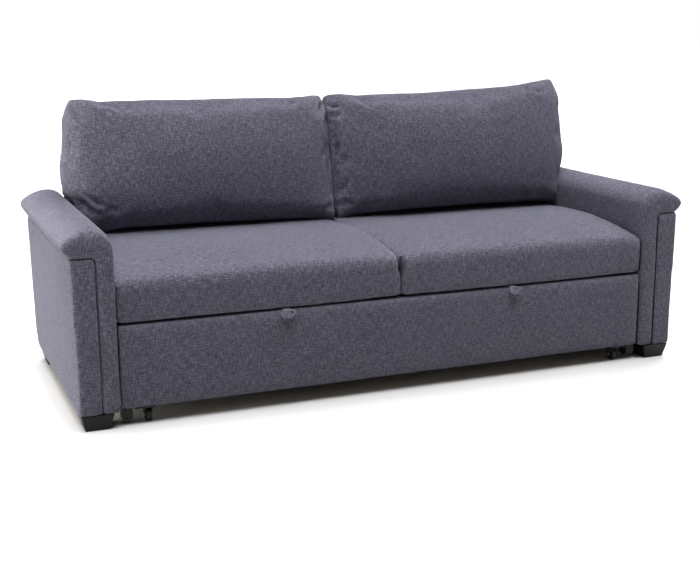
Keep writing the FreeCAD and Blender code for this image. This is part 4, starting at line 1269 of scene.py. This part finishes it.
@dataclass
class FixedBack:
    """The padded back behind the cushions, its outside panel, its ends, and the hems under the arms."""

    finishes: Finishes
    voxel: float = 0.009
    bevel: float = 0.0025
    # Boxes of a strip on one side, with x measured outwards; the hem's top follows the panel above it
    end: tuple[Point, Point] = ((0.9290, 0.3930, 0.590), (0.9372, 0.4560, 0.7375))
    hem_low: Point = (0.9365, 0.4436, 0.0510)
    hem_out: float = 1.0560
    hem_back: float = 0.4540
    hem_lap: float = 0.002

    def build(self) -> None:
        """Model the pad, the panel, the ends and the hems."""
        for node, name, swell, fill in (("back_pad", "back_padding", 0.0, 0.8),
                                        ("back_panel", "back_outside", 0.003, 0.95)):
            skin = Skin.of_node(name, node, self.voxel).relax(3)
            skin.filled_out(node, 1, 1, swell).ruffle(0.0016, 0.24, 41, (1.5, 1.0, 1.0))
            skin.dressed(self.finishes.upholstery.material)
            skin.ride("sofa", node)
        for side in Side:
            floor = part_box(f"arm_rear_panel_{side.tag}")[0][2]
            self._close("back_end", side, *self.end)
            self._close("arm_hem", side, self.hem_low, (self.hem_out, self.hem_back, floor + self.hem_lap))

    def _close(self, stem: str, side: Side, low: Point, high: Point) -> None:
        """Cover one gap with a strip of cloth: the back's end above an arm, or an arm's lower edge behind.

        Args:
            stem: The strip's name without its side.
            side: Which end of the sofa.
            low: The lowest corner, with x measured outwards.
            high: The highest corner.
        """
        skin = strip(f"{stem}_{side.tag}", *side.mirrored(low, high), self.finishes.upholstery.material,
                     self.bevel)
        skin.ride("sofa")


@dataclass
class PullOutBase:
    """The wheeled bed base: padded front, deck and tabs."""

    finishes: Finishes
    lower_corner: float = 0.024
    upper_corner: float = 0.010
    front_swell: float = 0.0025
    wrap_inset: float = 0.002
    wrap_depth: float = 0.0195
    quilt_depth: float = 0.004
    quilt_width: float = 0.012
    tab_soften: float = 0.0012
    tab_lift: float = 0.0030
    eye_half: float = 0.0036
    eye_drop: float = 0.007

    def build(self) -> None:
        """Model the soft pieces of the base."""
        self._front()
        self._deck()
        for side in Side:
            self._tab(side)

    def _front(self) -> None:
        """Pad the front board, round its corners, and wrap its upper edge."""
        node = "bed_front_pad"
        low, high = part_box(node)
        skin = Skin.of_node("base_front", node, 0.008).relax(3)
        skin.filled_out(node, 1, -1, self.front_swell)
        points = skin.points
        for side in Side:
            edge = high[0] if side is Side.RIGHT else low[0]
            points = round_corner(points, (0, 2), (edge, low[2]), (-side.value, 1), self.lower_corner)
            points = round_corner(points, (0, 2), (edge, high[2]), (-side.value, -1), self.upper_corner)
        skin.points = points
        skin.ruffle(0.0016, 0.18, 51, (2.0, 1.0, 1.0))
        skin.dressed(self.finishes.upholstery.material)
        skin.ride("bed_base", node)
        wrap = strip("base_front_wrap", (low[0] + self.wrap_inset, high[1] - 0.004, high[2] - 0.0038),
                     (high[0] - self.wrap_inset, high[1] + self.wrap_depth, high[2] - 0.0012),
                     self.finishes.upholstery.material)
        wrap.ride("bed_base")

    def _deck(self) -> None:
        """Cover the slats with a thin quilted pad."""
        node = "bed_deck_pad"
        skin = Skin.of_node("base_deck", node, 0.010).relax(2)
        low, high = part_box(node)
        points = skin.points
        top = points[:, 2] > high[2] - 0.02
        for x in quilt_lines(low, high):
            points[:, 2] -= self.quilt_depth * np.exp(-(((points[:, 0] - x) / self.quilt_width) ** 2)) * top
        skin.points = points
        skin.ruffle(0.0018, 0.11, 61)
        skin.dressed(self.finishes.deck_cloth.material)
        skin.ride("bed_base", node, slot="deck_cloth")

    def _tab(self, side: Side) -> None:
        """Fold a pull tab, whose foot stands out, with a pressed fold and, on the left, a small black strip
        as painted shadow in its eye.

        Args:
            side: Which tab.
        """
        node = f"pull_tab_{side.tag}"
        skin = Skin.of_node(f"tab_{side.tag}", node, 0.0011).relax(3).swollen(self.tab_soften)
        low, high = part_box(node)
        points = skin.points
        fall = np.clip((high[2] - points[:, 2]) / (high[2] - low[2]), 0.0, 1.0)
        points[:, 1] -= (self.tab_lift + TAB_FLARE * fall) * (points[:, 1] < low[1] + 0.006)
        skin.points = points
        middle, span = (low[0] + high[0]) / 2, (high[0] - low[0]) / 2
        x, front, z = middle + 0.52 * span, low[1] - 0.0070, high[2] - self.eye_drop
        skin.crease([(x - 0.0035, front, z), (x + 0.0035, front, z - 0.001)], 0.0042, 0.0030)
        skin.crease([(middle - 0.8 * span, front, z - 0.001), (x, front, z - 0.003)], 0.0009, 0.0035)
        skin.dressed(self.finishes.tab_cloth.material)
        skin.ride("bed_base", node)
        # Painted shadow: a small black strip stands for the shade inside the tab's eye.
        if side is Side.LEFT:
            eye = strip("tab_eye_left", (x - self.eye_half, low[1] - 0.0078, z - 0.0026),
                        (x + self.eye_half, low[1] - 0.0040, z + 0.0022),
                        self.finishes.black_cloth.material)
            eye.ride("bed_base", slot="black_cloth")


@dataclass
class Trim:
    """Rows of stitches and staples."""

    finishes: Finishes

    def build(self) -> None:
        """Lay the quilting and tab stitches on the base, and the staples under the seat."""
        thread = RowOfPieces("stitch_row", self.finishes.thread.material)
        wire = RowOfPieces("staple_row", self.finishes.zinc_steel.material)
        low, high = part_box("bed_deck_pad")
        y0, y1, z = low[1] + 0.012, high[1] - 0.012, high[2] - 0.0036
        quilt = [[(x, y0, z), (x, y1, z)] for x in quilt_lines(low, high)]
        thread.along("deck_stitches", quilt, Spacing=0.009, Length=0.006, Radius=0.0009).ride(
            "bed_base", slot="deck_cloth")
        for side in Side:
            low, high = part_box(f"pull_tab_{side.tag}")
            rows = []
            for fall in (0.45, 0.82):
                front, up = low[1] - 0.0042 - TAB_FLARE * fall, high[2] - fall * (high[2] - low[2])
                rows.append([(low[0] + 0.004, front, up), (high[0] - 0.004, front, up)])
            thread.along(f"tab_stitches_{side.tag}", rows, Spacing=0.0042, Length=0.0028, Radius=0.0004).ride(
                "bed_base", slot="upholstery")
        low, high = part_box("seat_dust_cover")
        x0, x1, z = low[0] + 0.018, high[0] - 0.018, low[2] - 0.0002
        edges = [[(x0, y, z), (x1, y, z)] for y in (low[1] + 0.014, high[1] - 0.014)]
        wire.along("cover_staples", edges, Spacing=0.045, Length=0.010, Radius=0.0006).ride(
            "sofa", slot="zinc_steel")


@dataclass
class Hardware:
    """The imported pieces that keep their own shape: timbers, slats, rails, casters, feet and fasteners."""

    finishes: Finishes
    nodes: Mapping[str, bpy.types.Object]

    def build(self) -> None:
        """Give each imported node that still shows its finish."""
        for node, piece in sorted(self.nodes.items()):
            if piece.hide_render:
                continue
            finish = self._finish(node)
            piece.data.materials.clear()
            piece.data.materials.append(finish.material)
            LOG.info("%s: %s", node, finish.name)

    def _finish(self, node: str) -> Timber | Hard | Strap:
        """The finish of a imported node, by its name.

        Args:
            node: The node's name.

        Returns:
            The finish.
        """
        kit = self.finishes
        rules = (
            (kit.zinc_steel, ("foot_bolts",)),
            (kit.foot_wood, ("foot_",)),
            (kit.plank, ("arm_frame",)),
            (kit.timber, ("back_frame", "seat_frame", "bed_frame", "bed_slats", "bed_front_board")),
            (kit.spring_steel, ("seat_springs",)),
            (kit.black_cloth, ("back_webbing", "seat_dust_cover")),
            (kit.black_rubber, ("rail_stops",)),
            (kit.bracket_paint, ("caster_bracket",)),
            (kit.black_plastic, ("caster_wheel", "corner_glide")),
            (kit.white_nylon, ("guide_roller",)),
        )
        return next((finish for finish, stems in rules if node.startswith(stems)), kit.zinc_steel)


@dataclass
class Studio:
    """Pale floor, soft lights, white surroundings and the camera."""

    eye: Point = (-1.5599, -3.8058, 1.1859)
    yaw: float = 0.3883
    pitch: float = -0.2175
    roll: float = -0.0057
    lens: float = 59.95
    sensor: float = 36.0
    ambient: float = 0.05
    floor_shade: float = 0.36
    floor_seen: float = 0.92
    floor_reach: float = 40.0
    box_place: Point = (-2.5, -0.15, 0.42)
    box_aim: Point = (-1.0, 0.0, 0.35)

    def build(self) -> None:
        """Set the scene round the sofa."""
        self._floor()
        self._world()
        self._lamp("top", "SUN", (-0.05, -0.12, 1.0), energy=2.95, angle=math.radians(44.0))
        self._lamp("rear", "SUN", (0.30, 0.55, 0.8), energy=3.1, angle=math.radians(50.0))
        box = self._lamp("side", "AREA", Vector(self.box_place) - Vector(self.box_aim), shape="RECTANGLE",
                         energy=30.0, size=1.4, size_y=0.7, color=(1.0, 0.97, 0.90))
        box.location = self.box_place
        box.visible_camera = False
        self._camera()
        bpy.context.scene.view_settings.view_transform = "Standard"

    def _floor(self) -> None:
        """Lay the floor."""
        mesh, r = bpy.data.meshes.new("floor"), self.floor_reach
        mesh.from_pydata([(-r, -r, 0), (r, -r, 0), (r, r, 0), (-r, r, 0)], [], [(0, 1, 2, 3)])
        floor = placed("floor", mesh)
        kit = ShaderTree(bpy.data.materials.new("pale_floor"))
        colour = kit.mix(kit.seen(), solid((self.floor_shade,) * 3), solid((self.floor_seen,) * 3))
        mesh.materials.append(kit.finish(Base_Color=colour, Roughness=0.9, Specular_IOR_Level=0.1))

    def _world(self) -> None:
        """Light softly from all round, and show white to the camera and in gloss."""
        world = bpy.data.worlds.new("studio")
        kit = ShaderTree(world)
        strength = kit.term("ShaderNodeMapRange",
                            {"Value": kit.seen(), "To Min": self.ambient, "To Max": 1.0})
        back = kit.node("ShaderNodeBackground", {"Color": solid((1.0, 1.0, 1.0)), "Strength": strength})
        kit.node("ShaderNodeOutputWorld", {0: back.outputs[0]})
        bpy.context.scene.world = world

    @staticmethod
    def _lamp(name: str, kind: str, towards: Point, **settings: object) -> bpy.types.Object:
        """Hang a lamp, turned to shine from a direction.

        Args:
            name: Its name.
            kind: Its type.
            towards: The direction from the sofa to it.
            settings: Its strength, its size and its colour.

        Returns:
            The lamp.
        """
        lamp = placed(name, configured(bpy.data.lights.new(name, kind), settings))
        lamp.rotation_mode = "QUATERNION"
        lamp.rotation_quaternion = Vector(towards).to_track_quat("Z", "Y")
        return lamp

    def _camera(self) -> None:
        """Place the camera where the photograph was taken from."""
        level = math.cos(self.pitch)
        ahead = Vector((math.sin(self.yaw) * level, math.cos(self.yaw) * level, math.sin(self.pitch)))
        right = Vector((math.cos(self.yaw), -math.sin(self.yaw), 0.0))
        up = right.cross(ahead)
        c, s = math.cos(self.roll), math.sin(self.roll)
        data = bpy.data.cameras.new("camera")
        configured(data, {"lens": self.lens, "sensor_width": self.sensor, "sensor_fit": "HORIZONTAL"})
        camera = placed("camera", data)
        columns = (c * right + s * up, -s * right + c * up, -ahead)
        camera.matrix_world = Matrix.Translation(self.eye) @ Matrix(columns).transposed().to_4x4()
        bpy.context.scene.camera = camera


def cushions(finish: Cloth) -> list[Cushion]:
    """The two back cushions, each in its own lean and with its own folds.

    Args:
        finish: Their cloth.

    Returns:
        The cushions, left and right.
    """
    return [
        Cushion(Side.LEFT, finish, (-0.464, 0.1565, 0.488), (1.0, 14.5, 0.5), (
            ([(-0.98, 0.38), (-0.92, 0.29), (-0.85, 0.22), (-0.77, 0.19)], 0.0058, 0.008),
            ([(-0.97, 0.26), (-0.90, 0.17), (-0.82, 0.12)], 0.0050, 0.008),
            ([(-0.86, 0.12), (-0.76, 0.17), (-0.68, 0.16)], 0.0032, 0.009),
            ([(0.99, 0.955), (0.955, 0.93), (0.925, 0.87)], 0.0080, 0.007),
            ([(0.99, 0.84), (0.965, 0.76), (0.975, 0.66)], 0.0060, 0.009),
            ([(0.98, 0.50), (0.955, 0.42), (0.965, 0.30)], 0.0050, 0.010),
            ([(0.99, 0.12), (0.93, 0.10), (0.86, 0.07)], 0.0040, 0.010),
            ([(-0.985, 0.96), (-0.955, 0.93), (-0.93, 0.87)], 0.0045, 0.008),
        ), over=0.022, over_top=0.15),
        Cushion(Side.RIGHT, finish, (0.487, 0.1325, 0.494), (2.5, 11.5, -1.2), (
            ([(-0.99, 0.93), (-0.955, 0.90), (-0.90, 0.905)], 0.0080, 0.007),
            ([(-0.99, 0.84), (-0.95, 0.82), (-0.905, 0.84)], 0.0065, 0.008),
            ([(-0.985, 0.72), (-0.955, 0.60), (-0.965, 0.48)], 0.0050, 0.009),
            ([(-0.99, 0.10), (-0.94, 0.13), (-0.86, 0.10)], 0.0045, 0.009),
            ([(0.72, 0.97), (0.84, 0.93), (0.95, 0.95)], 0.0030, 0.008),
        ), over=0.030, corner_lift=0.022),
    ]


def main() -> None:
    """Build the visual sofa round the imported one."""
    logging.basicConfig(level=logging.WARNING, format="%(name)s %(message)s", stream=sys.stdout)
    LOG.setLevel(logging.INFO)
    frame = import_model()
    finishes = Finishes()
    Studio().build()
    for side in Side:
        Arm(side, finishes).build()
    FixedBack(finishes).build()
    Seat(finishes).build()
    PullOutBase(finishes).build()
    Trim(finishes).build()
    for cushion in cushions(finishes.upholstery):
        cushion.build()
    Hardware(finishes, frame["nodes"]).build()


if __name__ == "__main__":
    main()
